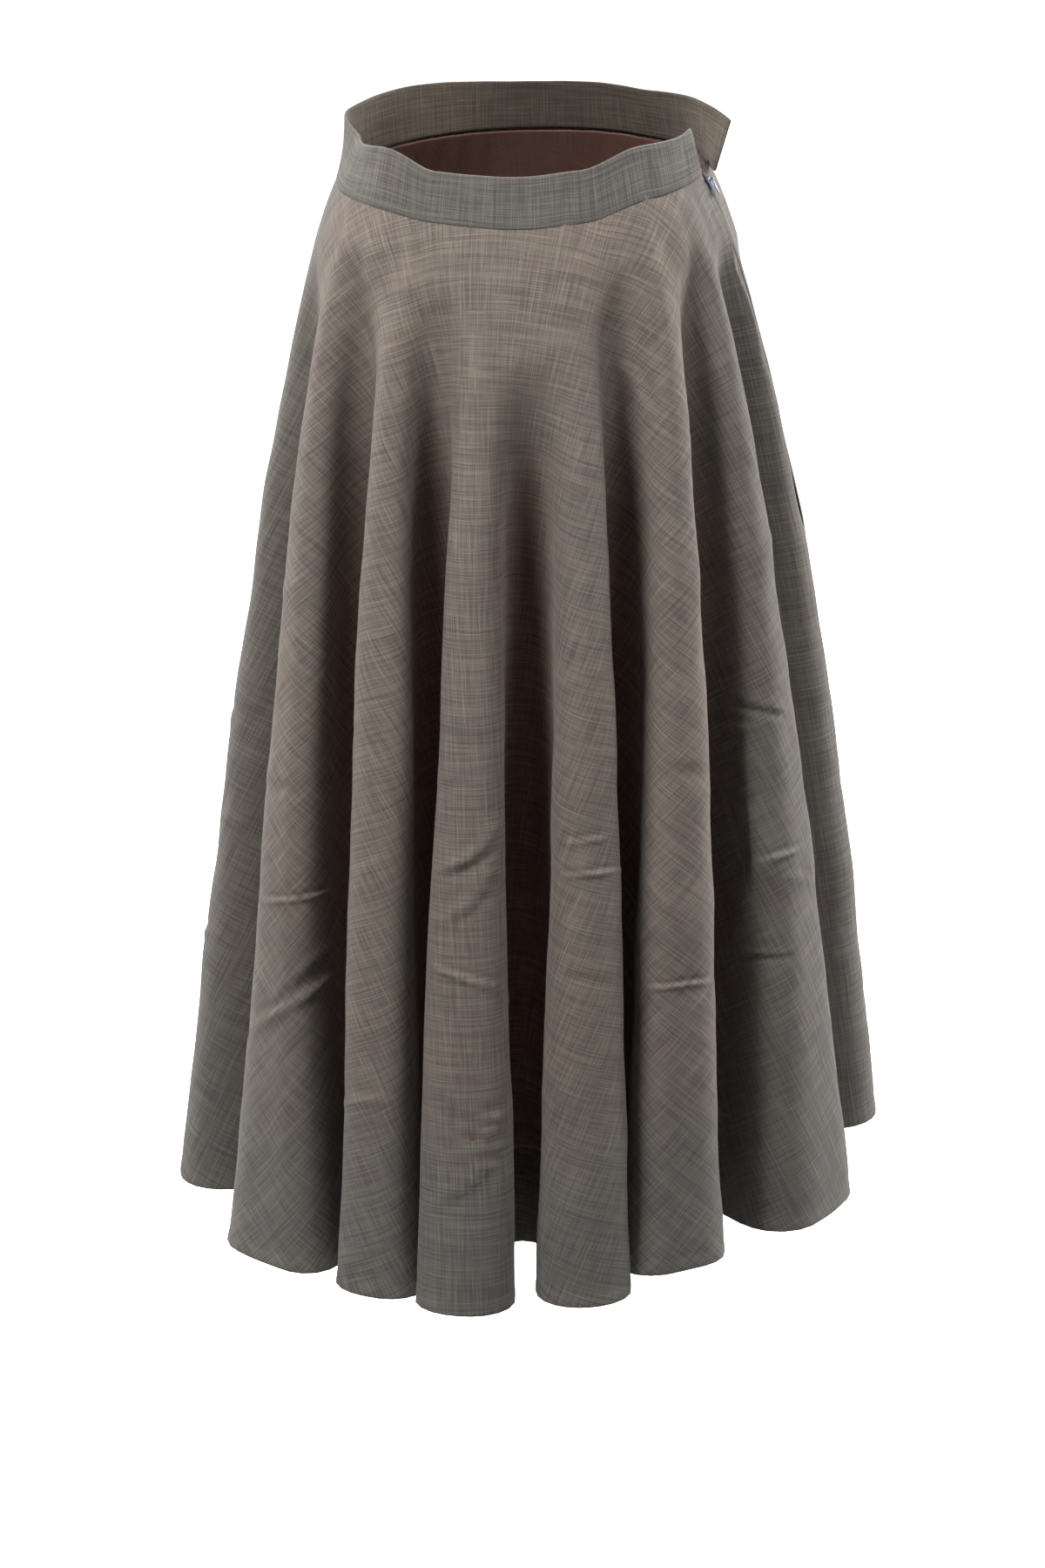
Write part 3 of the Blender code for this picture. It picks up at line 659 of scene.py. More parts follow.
class Weave:
    """Nodes of a woven cloth's material, on its cut in metres."""

    def __init__(self, name):
        self.material, self.shader = new_material(name)
        self.nodes = self.material.node_tree.nodes
        self.links = self.material.node_tree.links
        cut = self.nodes.new("ShaderNodeUVMap")
        cut.uv_map = "cut"
        self.cut = cut.outputs["UV"]

    def streaks(self, per_metre_u, per_metre_v, detail=1.0, at=0.0):
        """Noise drawn out along one way of the cloth."""
        place = self.nodes.new("ShaderNodeMapping")
        set_values(place, {"Scale": (per_metre_u, per_metre_v, 1.0), "Location": (at, at, at)})
        self.links.new(self.cut, place.inputs["Vector"])
        noise = self.nodes.new("ShaderNodeTexNoise")
        set_values(noise, {"Scale": 1.0, "Detail": detail})
        self.links.new(place.outputs["Vector"], noise.inputs["Vector"])
        return noise.outputs["Fac"]

    def ramp(self, source, low, high):
        return ramp(self.nodes, self.links, source, low, high)

    def calc(self, kind, a, b):
        made = self.nodes.new("ShaderNodeMath")
        made.operation = kind
        for socket, value in zip(made.inputs, (a, b)):
            if isinstance(value, (int, float)):
                socket.default_value = value
            else:
                self.links.new(value, socket)
        return made.outputs[0]

    def mix(self, share, a, b, blend="MIX"):
        made = self.nodes.new("ShaderNodeMix")
        made.data_type = "RGBA"
        made.blend_type = blend
        for socket, value in ((made.inputs["Factor"], share), (made.inputs["A"], a), (made.inputs["B"], b)):
            if isinstance(value, (int, float)):
                socket.default_value = value
            elif isinstance(value, tuple):
                socket.default_value = (*value[:3], 1.0)
            else:
                self.links.new(value, socket)
        return made.outputs["Result"]

    def product(self, first, *others):
        for other in others:
            first = self.calc("MULTIPLY", first, other)
        return first

    def inverse(self, value):
        return self.calc("SUBTRACT", 1.0, value)

    def at_least(self, low, value):
        """A value from 0 to 1, moved to run from low to 1."""
        return self.calc("ADD", self.product(value, 1.0 - low), low)

    def both_ways(self, fine, coarse, at_warp, at_weft, detail=1.0):
        return self.streaks(fine, coarse, detail, at_warp), self.streaks(coarse, fine, detail, at_weft)

    def average(self, a, b):
        return self.product(self.calc("ADD", a, b), 0.5)

    def odd_threads(self, fine, coarse, at_warp, at_weft):
        """Where single threads differ from the rest, each uneven along its run."""
        return self.calc(
            "MAXIMUM", *[self.ramp(way, 0.57, 0.70) for way in self.both_ways(fine, coarse, at_warp, at_weft)]
        )

    def hang(self):
        """How deep in a fold a point is, and its level down the cloth."""
        hang = self.nodes.new("ShaderNodeUVMap")
        hang.uv_map = "hang"
        separate = self.nodes.new("ShaderNodeSeparateXYZ")
        self.links.new(hang.outputs["UV"], separate.inputs["Vector"])
        return separate.outputs["X"], separate.outputs["Y"]

    def radius(self):
        """How far from the middle of the circle a point of the cut lies."""
        made = self.nodes.new("ShaderNodeVectorMath")
        made.operation = "LENGTH"
        self.links.new(self.cut, made.inputs[0])
        return made.outputs["Value"]

    def turn(self):
        """The angle in radians between a point of the cut and the straight grain."""
        separate = self.nodes.new("ShaderNodeSeparateXYZ")
        self.links.new(self.cut, separate.inputs["Vector"])
        beside = self.calc("ABSOLUTE", separate.outputs["X"], 0.0)
        return self.calc("ARCTAN2", beside, self.product(separate.outputs["Y"], -1.0))

    def finish(self, colour, height, bump, roughness, sheen=0.0):
        self.links.new(colour, self.shader.inputs["Base Color"])
        set_values(self.shader, {
            "Roughness": roughness, "Sheen Weight": sheen, "Sheen Roughness": 0.5, "Specular IOR Level": 0.25,
        })
        relief = self.nodes.new("ShaderNodeBump")
        set_values(relief, {"Strength": 0.6, "Distance": bump})
        self.links.new(height, relief.inputs["Height"])
        self.links.new(relief.outputs["Normal"], self.shader.inputs["Normal"])
        return self.material


# The light and dark of bands of threads, and the shares of weave tone between which they change.
BAND_TONES = (0.94, 0.94, 0.95), (1.06, 1.06, 1.05)
TONE_RANGE = 0.36, 0.64
# How strongly single light or dark threads differ.
ODD_THREADS = 0.42
# Painted shade that darkens the narrow valleys.
PAINTED_VALLEY_SHADE = (0.42, 0.40, 0.39)
# Painted light: the pale line at the lining's end in the valleys.
LINING_EDGE_LIGHT = (0.42, 0.36, 0.30)
# The band's outer tone, and the painted shade on its inner side.
BAND_TONE_AND_INNER_SHADE = (0.86, 0.86, 0.86), (0.60, 0.515, 0.445)


def wool_material(name, colours, lining_shows):
    """Fine plain weave with uneven light and dark threads both ways, and painted light and shade in the
    valleys and on the band's inner side.
    """
    cloth = Weave(name)
    fine = 0.5 / colours.thread_pitch
    tone = cloth.average(*cloth.both_ways(fine, 22.0, 0.0, 7.3))
    colour = cloth.mix(cloth.ramp(tone, *TONE_RANGE), tuple(colours.dark_thread), tuple(colours.ground))
    light = cloth.odd_threads(fine * 1.15, 26.0, 3.1, 11.9)
    colour = cloth.mix(cloth.product(light, ODD_THREADS), colour, tuple(colours.light_thread))
    dark = cloth.odd_threads(fine * 1.05, 18.0, 23.0, 31.0)
    colour = cloth.mix(cloth.product(dark, ODD_THREADS), colour, tuple(colours.dark_thread))
    # Bands of warp and weft that differ a little in tone, and blocks of mauve where they cross.
    broad = cloth.average(*cloth.both_ways(420.0, 8.0, 41.0, 53.0, 2.0))
    bands = cloth.mix(cloth.ramp(broad, *TONE_RANGE), *BAND_TONES)
    colour = cloth.mix(0.8, colour, bands, "MULTIPLY")
    mauve = cloth.average(*cloth.both_ways(90.0, 9.0, 71.0, 83.0))
    colour = cloth.mix(cloth.ramp(mauve, 0.50, 0.62), colour, tuple(colours.mauve), "MULTIPLY")
    if lining_shows:
        radius = cloth.radius()
        fold_depth, level = cloth.hang()
        ends = INNER_RADIUS + LINING_ENDS * CLOTH_LENGTH
        # Beside the side seams the wool hangs clear of the lining.
        near_middle = cloth.inverse(cloth.ramp(cloth.turn(), 0.92, 1.22))
        near_front = cloth.at_least(0.2, near_middle)
        fading = cloth.inverse(cloth.ramp(radius, ends - 0.12, ends + 0.03))
        touches = cloth.at_least(0.65, cloth.ramp(cloth.streaks(7.0, 5.0, 2.0, 61.0), 0.30, 0.62))
        amount = cloth.product(fading, touches, near_front)
        colour = cloth.mix(amount, colour, tuple(colours.lining_tint), "MULTIPLY")
        # Painted light: deep in the valleys the light that comes through the lining is painted in as a redder
        # tint.
        backed = cloth.inverse(cloth.ramp(radius, ends - 0.0012, ends + 0.0012))
        deep = cloth.product(
            cloth.ramp(fold_depth, 0.50, 1.0), cloth.ramp(level, 0.15, 0.5), backed, near_front,
        )
        colour = cloth.mix(deep, colour, tuple(colours.painted_valley_light), "MULTIPLY")
        # Painted shade: where the valleys are narrow, less light reaches into them, so the colour is darkened
        # there.
        upper = cloth.inverse(cloth.product(cloth.ramp(level, 0.55, 0.85), 0.7))
        painted_shade_amount = cloth.product(
            cloth.ramp(fold_depth, 0.45, 0.95), upper, cloth.ramp(level, 0.10, 0.30), near_middle,
        )
        colour = cloth.mix(painted_shade_amount, colour, PAINTED_VALLEY_SHADE, "MULTIPLY")
        # Painted light: the lining's end, lit through the wool, shows as a pale line painted into the
        # valleys.
        from_end = cloth.calc("ABSOLUTE", cloth.calc("SUBTRACT", radius, ends), 0.0)
        pale = cloth.inverse(cloth.ramp(from_end, 0.0004, 0.0018))
        pale = cloth.product(pale, cloth.ramp(fold_depth, 0.45, 0.80), 0.55)
        colour = cloth.mix(pale, colour, LINING_EDGE_LIGHT)
    else:
        # The waistband's outer side is toned a little darker, and its inner side gets painted shade, darker
        # and warmer.
        inner_side, _ = cloth.hang()
        tone_and_inner_shade = cloth.mix(cloth.ramp(inner_side, 0.4, 0.6), *BAND_TONE_AND_INNER_SHADE)
        colour = cloth.mix(1.0, colour, tone_and_inner_shade, "MULTIPLY")
    height = cloth.calc("ADD", tone, cloth.product(light, 0.6))
    return cloth.finish(colour, height, 0.00022, 0.88, 0.12)


def lining_material(colours):
    cloth = Weave("lining_satin")
    tone = cloth.average(*cloth.both_ways(900.0, 30.0, 0.0, 0.0))
    dark = tuple(value * 0.75 for value in colours.lining)
    colour = cloth.mix(cloth.ramp(tone, 0.38, 0.62), dark, tuple(colours.lining))
    broad = cloth.ramp(cloth.streaks(5.0, 4.0, 2.0, 9.0), 0.3, 0.7)
    colour = cloth.mix(0.5, colour, cloth.mix(broad, (0.82, 0.82, 0.82), (1.12, 1.12, 1.12)), "MULTIPLY")
    return cloth.finish(colour, tone, 0.00006, 0.46, 0.10)


def tape_material(colours):
    cloth = Weave("zip_tape_twill")
    separate = cloth.nodes.new("ShaderNodeSeparateXYZ")
    cloth.links.new(cloth.cut, separate.inputs["Vector"])
    zigzag = cloth.calc("PINGPONG", cloth.calc("ABSOLUTE", separate.outputs["X"], 0.0), 0.0011)
    run = cloth.calc("ADD", separate.outputs["Y"], zigzag)
    rib = cloth.calc("SINE", cloth.product(run, 2 * math.pi / 0.0006), 0.0)
    tape = tuple(colours.tape)
    colour = cloth.mix(cloth.ramp(rib, -0.6, 0.8), tuple(value * 0.7 for value in tape), tape)
    return cloth.finish(colour, rib, 0.00008, 0.80, 0.05)


def grained_material(name, scale, detail, strength, depth, dark, light, contrast=None):
    """A material whose noise on Object coordinates tints it and gives its bump."""
    made, shader = new_material(name)
    nodes = made.node_tree.nodes
    links = made.node_tree.links
    place = nodes.new("ShaderNodeTexCoord")
    noise = nodes.new("ShaderNodeTexNoise")
    set_values(noise, {"Scale": scale, "Detail": detail})
    links.new(place.outputs["Object"], noise.inputs["Vector"])
    grain = noise.outputs["Fac"]
    colour = nodes.new("ShaderNodeMix")
    colour.data_type = "RGBA"
    set_values(colour, {"A": (*dark, 1.0), "B": (*light, 1.0)})
    links.new(ramp(nodes, links, grain, *contrast) if contrast else grain, colour.inputs["Factor"])
    links.new(colour.outputs["Result"], shader.inputs["Base Color"])
    bump = nodes.new("ShaderNodeBump")
    set_values(bump, {"Strength": strength, "Distance": depth})
    links.new(grain, bump.inputs["Height"])
    links.new(bump.outputs["Normal"], shader.inputs["Normal"])
    return made, nodes, links, shader, grain


def metal_material(name, tint, roughness):
    """Satin metal with a faint grain in its tint, bump and roughness."""
    dark = [value * 0.72 for value in tint]
    light = [min(1.0, value * 1.12) for value in tint]
    made, nodes, links, shader, grain = grained_material(
        name, 900.0, 3.0, 0.3, 0.00003, dark, light, (0.35, 0.65),
    )
    shader.inputs["Metallic"].default_value = 1.0
    rough = nodes.new("ShaderNodeMapRange")
    set_values(rough, {"To Min": roughness - 0.08, "To Max": roughness + 0.12})
    links.new(grain, rough.inputs["Value"])
    links.new(rough.outputs["Result"], shader.inputs["Roughness"])
    return made


def thread_material(name, colour):
    """Twisted sewing thread."""
    dark = [value * 0.6 for value in colour]
    made, _, _, shader, _ = grained_material(name, 2500.0, 2.0, 0.4, 0.00005, dark, colour)
    shader.inputs["Roughness"].default_value = 0.7
    return made


def look(name, make):
    """The named material, made the first time it is asked for."""
    return bpy.data.materials.get(name) or make()


def colour_setting(name, description, default, high=1.0):
    return FloatVectorProperty(
        name=name, description=description, subtype="COLOR", size=3, min=0.0, max=high, default=default,
    )


def length_setting(name, description, low, high, default):
    return FloatProperty(
        name=name, description=description, unit="LENGTH", min=low, max=high, default=default,
    )


def power_setting(name, description, default):
    return FloatProperty(
        name=name, description=description, unit="POWER", min=0.0, max=500.0, default=default,
    )


class SkirtColours(bpy.types.PropertyGroup):
    ground: colour_setting("Ground", "Colour of most of the wool's threads", (0.212, 0.197, 0.170))
    light_thread: colour_setting("Light threads", "Colour of the beige slubs", (0.330, 0.307, 0.263))
    dark_thread: colour_setting("Dark threads", "Colour of the dark threads", (0.104, 0.096, 0.088))
    mauve: colour_setting("Mauve blocks", "How the mauve blocks tint the wool", (0.96, 0.92, 0.97))
    lining_tint: colour_setting("Lining tint", "How the lining tints the wool", (1.21, 1.075, 1.015), 2.0)
    # Painted light: the valley tint stands in for light that comes through the lining into the deep folds.
    painted_valley_light: colour_setting("Valley tint", "How it tints the deep folds", (1.75, 1.02, 0.94), 2.0)
    lining: colour_setting("Lining", "Colour of the lining", (0.165, 0.078, 0.058))
    tape: colour_setting("Zip tape", "Colour of the zip's woven tape", (0.085, 0.078, 0.070))
    thread_pitch: length_setting("Thread pitch", "Distance between two threads", 0.0002, 0.002, 0.00042)


class SkirtCloth(bpy.types.PropertyGroup):
    wool_thickness: length_setting("Wool", "Thickness of the wool", 0.0003, 0.0012, 0.0007)
    lining_thickness: length_setting("Lining", "Thickness of the lining", 0.0001, 0.0009, 0.0003)
    hem_fold: length_setting("Hem", "Height of the folded hem", 0.004, 0.02, 0.008)
    crease: FloatProperty(
        name="Crease depth", description="How deep the creases are, as a share of the usual depth",
        subtype="FACTOR", min=0.0, max=2.0, default=1.0,
    )


class SkirtZip(bpy.types.PropertyGroup):
    tooth_pitch: length_setting("Tooth pitch", "Distance between two teeth", 0.0008, 0.003, 0.0012)
    metal: colour_setting("Metal", "Colour of the slider, pull and teeth", (0.15, 0.172, 0.212))


class SkirtStudio(bpy.types.PropertyGroup):
    floor_height: length_setting("Floor", "Height of the floor", -2.0, -0.85, -1.03)
    key_power: power_setting("Key light", "Power of the soft light at the front left", 62.5)
    side_power: power_setting("Side lights", "Power of each soft light beside and behind", 85.0)
    floor_glow: FloatProperty(
        name="Floor glow", description="Light that the floor gives off, as a lit table does",
        min=0.0, max=2.0, default=1.1,
    )
    sky: FloatProperty(
        name="Sky", description="Strength of the even light all round", min=0.0, max=5.0, default=0.065,
    )


def wool_look(name, lining_shows):
    return look(name, lambda: wool_material(name, bpy.context.scene.skirt_colours, lining_shows))


def zip_metal():
    tint = tuple(bpy.context.scene.skirt_zip.metal)
    return look("zip_metal_satin", lambda: metal_material("zip_metal_satin", tint, 0.46))


def stitched_fold(above, height, soft):
    """1 in a folded hem and 0 above it, with a soft step at its stitched line."""
    return 1 / (1 + np.exp(np.minimum((above - height) / soft, 60.0)))


def add_wool_panel(name, node, is_back, rows, steps):
    cloth = bpy.context.scene.skirt_cloth
    levels = hemmed_levels(rows, hem=cloth.hem_fold)
    points, normals, cut, hang = panel_sheet(is_back, levels, steps, 0.0, cloth.crease)
    # The hem is turned up inside, so it is thicker and has a stitched line above it.
    above = (1.0 - hang[..., 1]) * CLOTH_LENGTH
    points += normals * (stitched_fold(above, cloth.hem_fold, 0.0006) * 0.0004)[..., None]
    # The top edge runs up inside the waistband.
    tucked = points[0] - normals[0] * TUCK_IN
    tucked[:, 2] += TUCK_UP
    # The hem's inner layer, from the fold at the lower edge up to its own edge.
    inner_levels = 1.0 - np.array((cloth.hem_fold + 0.0006, cloth.hem_fold, 0.0016, 0.0)) / CLOTH_LENGTH
    inner_depth = cloth.wool_thickness * np.array((0.35, 1.3, 1.3, 0.8))[:, None]
    inner, _, inner_cut, inner_hang = panel_sheet(is_back, inner_levels, steps, inner_depth, cloth.crease)
    points = np.concatenate((tucked[None], points, inner[::-1]))
    cut = np.concatenate((cut[:1] * 0.985, cut, inner_cut[::-1]))
    hang = np.concatenate((hang[:1], hang, inner_hang[::-1]))
    made = grid_object(name, points[::-1], cut[::-1], wool_look("wool_weave", True), hang[::-1])
    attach(made, SKIRT_BODY)
    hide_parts(node)


class SKIRT_OT_wool(bpy.types.Operator):
    """Build the front and back half circles of wool."""

    bl_idname = "skirt.wool"
    bl_label = "Wool Panels"

    def execute(self, context):
        for panel in WOOL_PANELS:
            add_wool_panel(*panel)
        return {"FINISHED"}


class SKIRT_OT_lining(bpy.types.Operator):
    """Build the two halves of the lining."""

    bl_idname = "skirt.lining"
    bl_label = "Lining"

    def execute(self, context):
        cloth = context.scene.skirt_cloth
        satin = look("lining_satin", lambda: lining_material(context.scene.skirt_colours))
        for name, node, is_back in LINING_PANELS:
            levels = hemmed_levels(LINING_ROWS, LINING_ENDS, LINING_HEM)[1:]
            depth = LINING_DEPTH - LINING_RISE * np.exp(-levels / LINING_RISE_LEVEL)[:, None]
            points, normals, cut, hang = panel_sheet(is_back, levels, LINING_STEPS, depth, cloth.crease)
            above = (LINING_ENDS - hang[..., 1]) * CLOTH_LENGTH
            points -= normals * (stitched_fold(above, LINING_HEM, 0.0008) * 0.0003)[..., None]
            made = grid_object(name, points[::-1], cut[::-1], satin)
            thicken(made, cloth.lining_thickness)
            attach(made, SKIRT_BODY)
            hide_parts(node)
        return {"FINISHED"}


def band_edges(degrees, sprung, depth):
    """The band's bottom and top points at these angles, moved out from the waist line by depth."""
    angle = np.radians(degrees)
    reach = ellipse_reach(degrees)
    waist = np.stack((reach * np.sin(angle), -reach * np.cos(angle), np.zeros_like(reach)), axis=1)
    out = waist / np.array((WAIST_HALF_WIDTH, WAIST_HALF_DEPTH, 1.0)) ** 2
    out /= np.linalg.norm(out, axis=1, keepdims=True)
    bottom = waist + out * depth
    bottom[:, 2] = seam_height(bottom[:, 0], bottom[:, 1]) - BAND_LAPS
    bottom += np.array(SPRUNG_BOTTOM) * (sprung**8)[:, None]
    lean = waist_column("lean", degrees)
    top = waist + out * (depth - lean)[:, None]
    top[:, 2] = BAND_RISE + waist_column("top_lift", degrees) + SEAM_GAP
    top[:, 2] += seam_height(waist[:, 0], waist[:, 1])
    top += np.array(SPRUNG_TOP) * (sprung**2)[:, None]
    return bottom, top


def band_grid(steps):
    """The band's angles, middle edges, half thicknesses and distance along it."""
    zip_x, zip_y, _ = plan([LEFT_SEAM], 0.0)
    zip_deg = math.degrees(math.atan2(zip_x[0], -zip_y[0]))
    slit_deg = math.degrees(ZIP_SLIT / 2 / WAIST_HALF_WIDTH)
    start = zip_deg - slit_deg
    end = zip_deg + slit_deg - 360.0
    share = np.linspace(0.0, 1.0, steps)
    near = np.array((0.0, 0.0006, 0.0015)) / BAND_LENGTH
    edge = 0.003 / BAND_LENGTH
    share = np.concatenate((near, share[1:-1] * (1 - 2 * edge) + edge, 1 - near[::-1]))
    degrees = start + (end - start) * share
    sprung = np.maximum(0.0, 1 - (degrees - end) / SPRUNG_DEG)
    outer = band_edges(degrees, sprung, BAND_PROUD)
    inner = band_edges(degrees, sprung, BAND_INNER)
    middle = [(a + b) / 2 for a, b in zip(outer, inner)]
    half = [(a - b) / 2 for a, b in zip(outer, inner)]
    run = np.concatenate(([0.0], np.cumsum(np.linalg.norm(np.diff(middle[0], axis=0), axis=1))))
    return degrees, middle, half, run


def band_section():
    """A layer's height and its side of the middle, from the seam over the folded top and down."""
    rise = 0.040
    points = [(0.0, 0.35), (0.0004 / rise, 0.72), (0.0012 / rise, 0.95)]
    points += [(share, 1.0) for share in np.linspace(0.08, 0.955, 14)]
    for step in range(1, 8):
        turn = math.pi * step / 8
        points.append((0.955 + 0.032 * math.sin(turn), math.cos(turn)))
    points += [(share, -1.0) for share in np.linspace(0.955, 0.08, 14)]
    points += [(0.0012 / rise, -0.95), (0.0004 / rise, -0.72), (0.0, -0.35)]
    return points


class SKIRT_OT_waistband(bpy.types.Operator):
    """Build the folded waistband with its dents and its sprung end."""

    bl_idname = "skirt.waistband"
    bl_label = "Waistband"

    def execute(self, context):
        degrees, middle, half, run = band_grid(BAND_COLUMNS)
        wrapped = (degrees + 180.0) % 360.0 - 180.0
        from_end = np.minimum(run, run[-1] - run)
        pinch = np.sqrt(np.clip(1 - (1 - np.clip(from_end / BAND_END_ROUND, 0, 1)) ** 2, 0.02, 1))
        outward = half[0] / np.linalg.norm(half[0], axis=1, keepdims=True)
        points = []
        cut = []
        hang = []
        folded_height = 0.0
        last = None
        for height, side in band_section():
            row = middle[0] + (middle[1] - middle[0]) * height
            thick = half[0] + (half[1] - half[0]) * height
            row = row + thick * (side * BAND_FULLNESS * pinch)[:, None]
            dent = np.zeros(len(degrees))
            for at, width, depth in BAND_DENTS:
                reach = np.exp(-(((wrapped - at - 2.0 * (height - 0.5)) / width) ** 2))
                dent -= depth * reach * math.sin(math.pi * min(1.0, 0.12 + height * 0.85))
            for size, stretch, phase in BAND_WAVES:
                dent += size * np.sin(run / stretch + phase * height) * height
            row = row + outward * dent[:, None]
            if last is not None:
                folded_height += float(np.linalg.norm(row[100] - last[100]))
            last = row
            points.append(row)
            cut.append(np.stack((run, np.full_like(run, folded_height)), axis=1))
            hang.append(np.stack((np.full_like(run, (1 - side) / 2), np.full_like(run, height)), axis=1))
        # The band runs from the front end round the back, so its columns go against the places.
        points = np.array(points)[:, ::-1]
        cut = np.array(cut)[:, ::-1]
        hang = np.array(hang)[:, ::-1]
        made = grid_object("waistband_cloth", points, cut, wool_look("wool_band", False), hang)
        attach(made, SKIRT_BODY)
        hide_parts("waistband")
        return {"FINISHED"}


def stitch_row(name, centres, runs, length, width, look_):
    """Short stitches at these points, each lying along its run."""
    build = bmesh.new()
    for centre, run in zip(centres, runs):
        turn = Vector(run).normalized().to_track_quat("X", "Z").to_matrix().to_4x4()
        size = Matrix.Diagonal((length / 2, width / 2, width / 2, 1.0))
        bmesh.ops.create_uvsphere(
            build, u_segments=6, v_segments=4, radius=1.0,
            matrix=Matrix.Translation(centre) @ turn @ size,
        )
    mesh = mesh_from(build, name)
    mesh.shade_smooth()
    made = new_object(name, mesh, look_)
    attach(made, SKIRT_BODY)


class SKIRT_OT_stitches(bpy.types.Operator):
    """Sew the waist seam, tack the band's end and leave a few thread ends at the hem."""

    bl_idname = "skirt.stitches"
    bl_label = "Stitches and Threads"

    def execute(self, context):
        degrees, middle, half, run = band_grid(BAND_COLUMNS)
        count = int((run[-1] - 0.02) / STITCH_PITCH)
        along = 0.008 + np.arange(count) * STITCH_PITCH
        base = middle[0] + half[0] * 0.55
        centres = np.stack([np.interp(along, run, base[:, axis]) for axis in range(3)], axis=1)
        centres[:, 2] += 0.00010
        ahead = np.stack([np.interp(along + 0.002, run, base[:, axis]) for axis in range(3)], axis=1)
        dark = look("thread_dark", lambda: thread_material("thread_dark", (0.075, 0.066, 0.058)))
        stitch_row("waist_seam_stitches", centres, ahead - centres, STITCH_LENGTH, STITCH_WIDTH, dark)
        pale = look("thread_pale", lambda: thread_material("thread_pale", (0.42, 0.38, 0.32)))
        marks = []
        runs = []
        for at, height, slant in TACK_THREADS:
            column = int(np.argmin(np.abs((degrees + 180) % 360 - 180 - at)))
            up = middle[1][column] - middle[0][column]
            outward = half[0][column] / np.linalg.norm(half[0][column])
            ahead = middle[0][column + 3] - middle[0][column]
            marks.append(middle[0][column] + up * height + half[0][column] + outward * 0.00005)
            runs.append(ahead / np.linalg.norm(ahead) + up / np.linalg.norm(up) * slant)
        stitch_row("band_tack_threads", marks, runs, 0.0042, 0.00030, pale)
        self.hem_threads(pale)
        return {"FINISHED"}

    def hem_threads(self, look_):
        """Loose thread ends that hang from the hem."""
        curve = bpy.data.curves.new("hem_threads", "CURVE")
        curve.dimensions = "3D"
        curve.bevel_depth = THREAD_RADIUS
        curve.bevel_resolution = 1
        curve.resolution_u = 5
        for place, length, lean in HEM_THREADS:
            start = face_rows([[place]], [1.0])[0, 0]
            spline = curve.splines.new("BEZIER")
            spline.bezier_points.add(2)
            for step, point in enumerate(spline.bezier_points):
                share = step / 2
                point.co = (
                    start[0] + lean * share**2, start[1] + lean * 0.5 * math.sin(3 * share),
                    start[2] + 0.002 - (length + 0.002) * share,
                )
                point.handle_left_type = point.handle_right_type = "AUTO"
        made = bpy.data.objects.new("hem_threads_curve", curve)
        bpy.context.scene.collection.objects.link(made)
        bpy.context.view_layer.update()
        mesh = bpy.data.meshes.new_from_object(made.evaluated_get(bpy.context.evaluated_depsgraph_get()))
        bpy.data.objects.remove(made)
        mesh.name = "hem_threads"
        mesh.materials.clear()
        threads = new_object("hem_threads", mesh, look_)
        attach(threads, SKIRT_BODY)


def zip_frame(distance):
    """A frame on the wool's face over the slit: x out of the cloth, y to the back, z up it."""
    level = distance / CLOTH_LENGTH
    rows = np.array([[LEFT_SEAM - 0.02, LEFT_SEAM, LEFT_SEAM + 0.02]] * 4)
    points = face_rows(rows, [max(0.0, level - 0.01), level, level + 0.01, level + 0.02])
    along = Vector(points[1, 2] - points[1, 0])
    above = Vector(points[0, 1] - points[2, 1])
    out = along.cross(above).normalized()
    up = Vector(points[1, 1] - points[3, 1]).normalized()
    back = up.cross(out).normalized()
    up = out.cross(back)
    turn = Matrix((out, back, up)).transposed().to_4x4()
    return Matrix.Translation(points[1, 1]) @ turn


def finish_mesh(build, name):
    bmesh.ops.recalc_face_normals(build, faces=build.faces)
    mesh = mesh_from(build, name)
    mesh.shade_smooth()
    mesh.set_sharp_from_angle(angle=math.radians(35.0))
    return mesh


def block(build, low, high):
    """A box between two corners, and its vertices."""
    made = bmesh.ops.create_cube(build, size=1.0)
    for vert in made["verts"]:
        for axis in range(3):
            share = vert.co[axis] + 0.5
            vert.co[axis] = low[axis] + (high[axis] - low[axis]) * share
    return made["verts"]


def edges_between(build, verts):
    inside = set(verts)
    return [edge for edge in build.edges if edge.verts[0] in inside and edge.verts[1] in inside]


def rounded(build, edges, width, segments=2):
    bmesh.ops.bevel(
        build, geom=edges, offset=width, offset_type="OFFSET", affect="EDGES",
        segments=segments, profile=0.5, material=-1,
    )


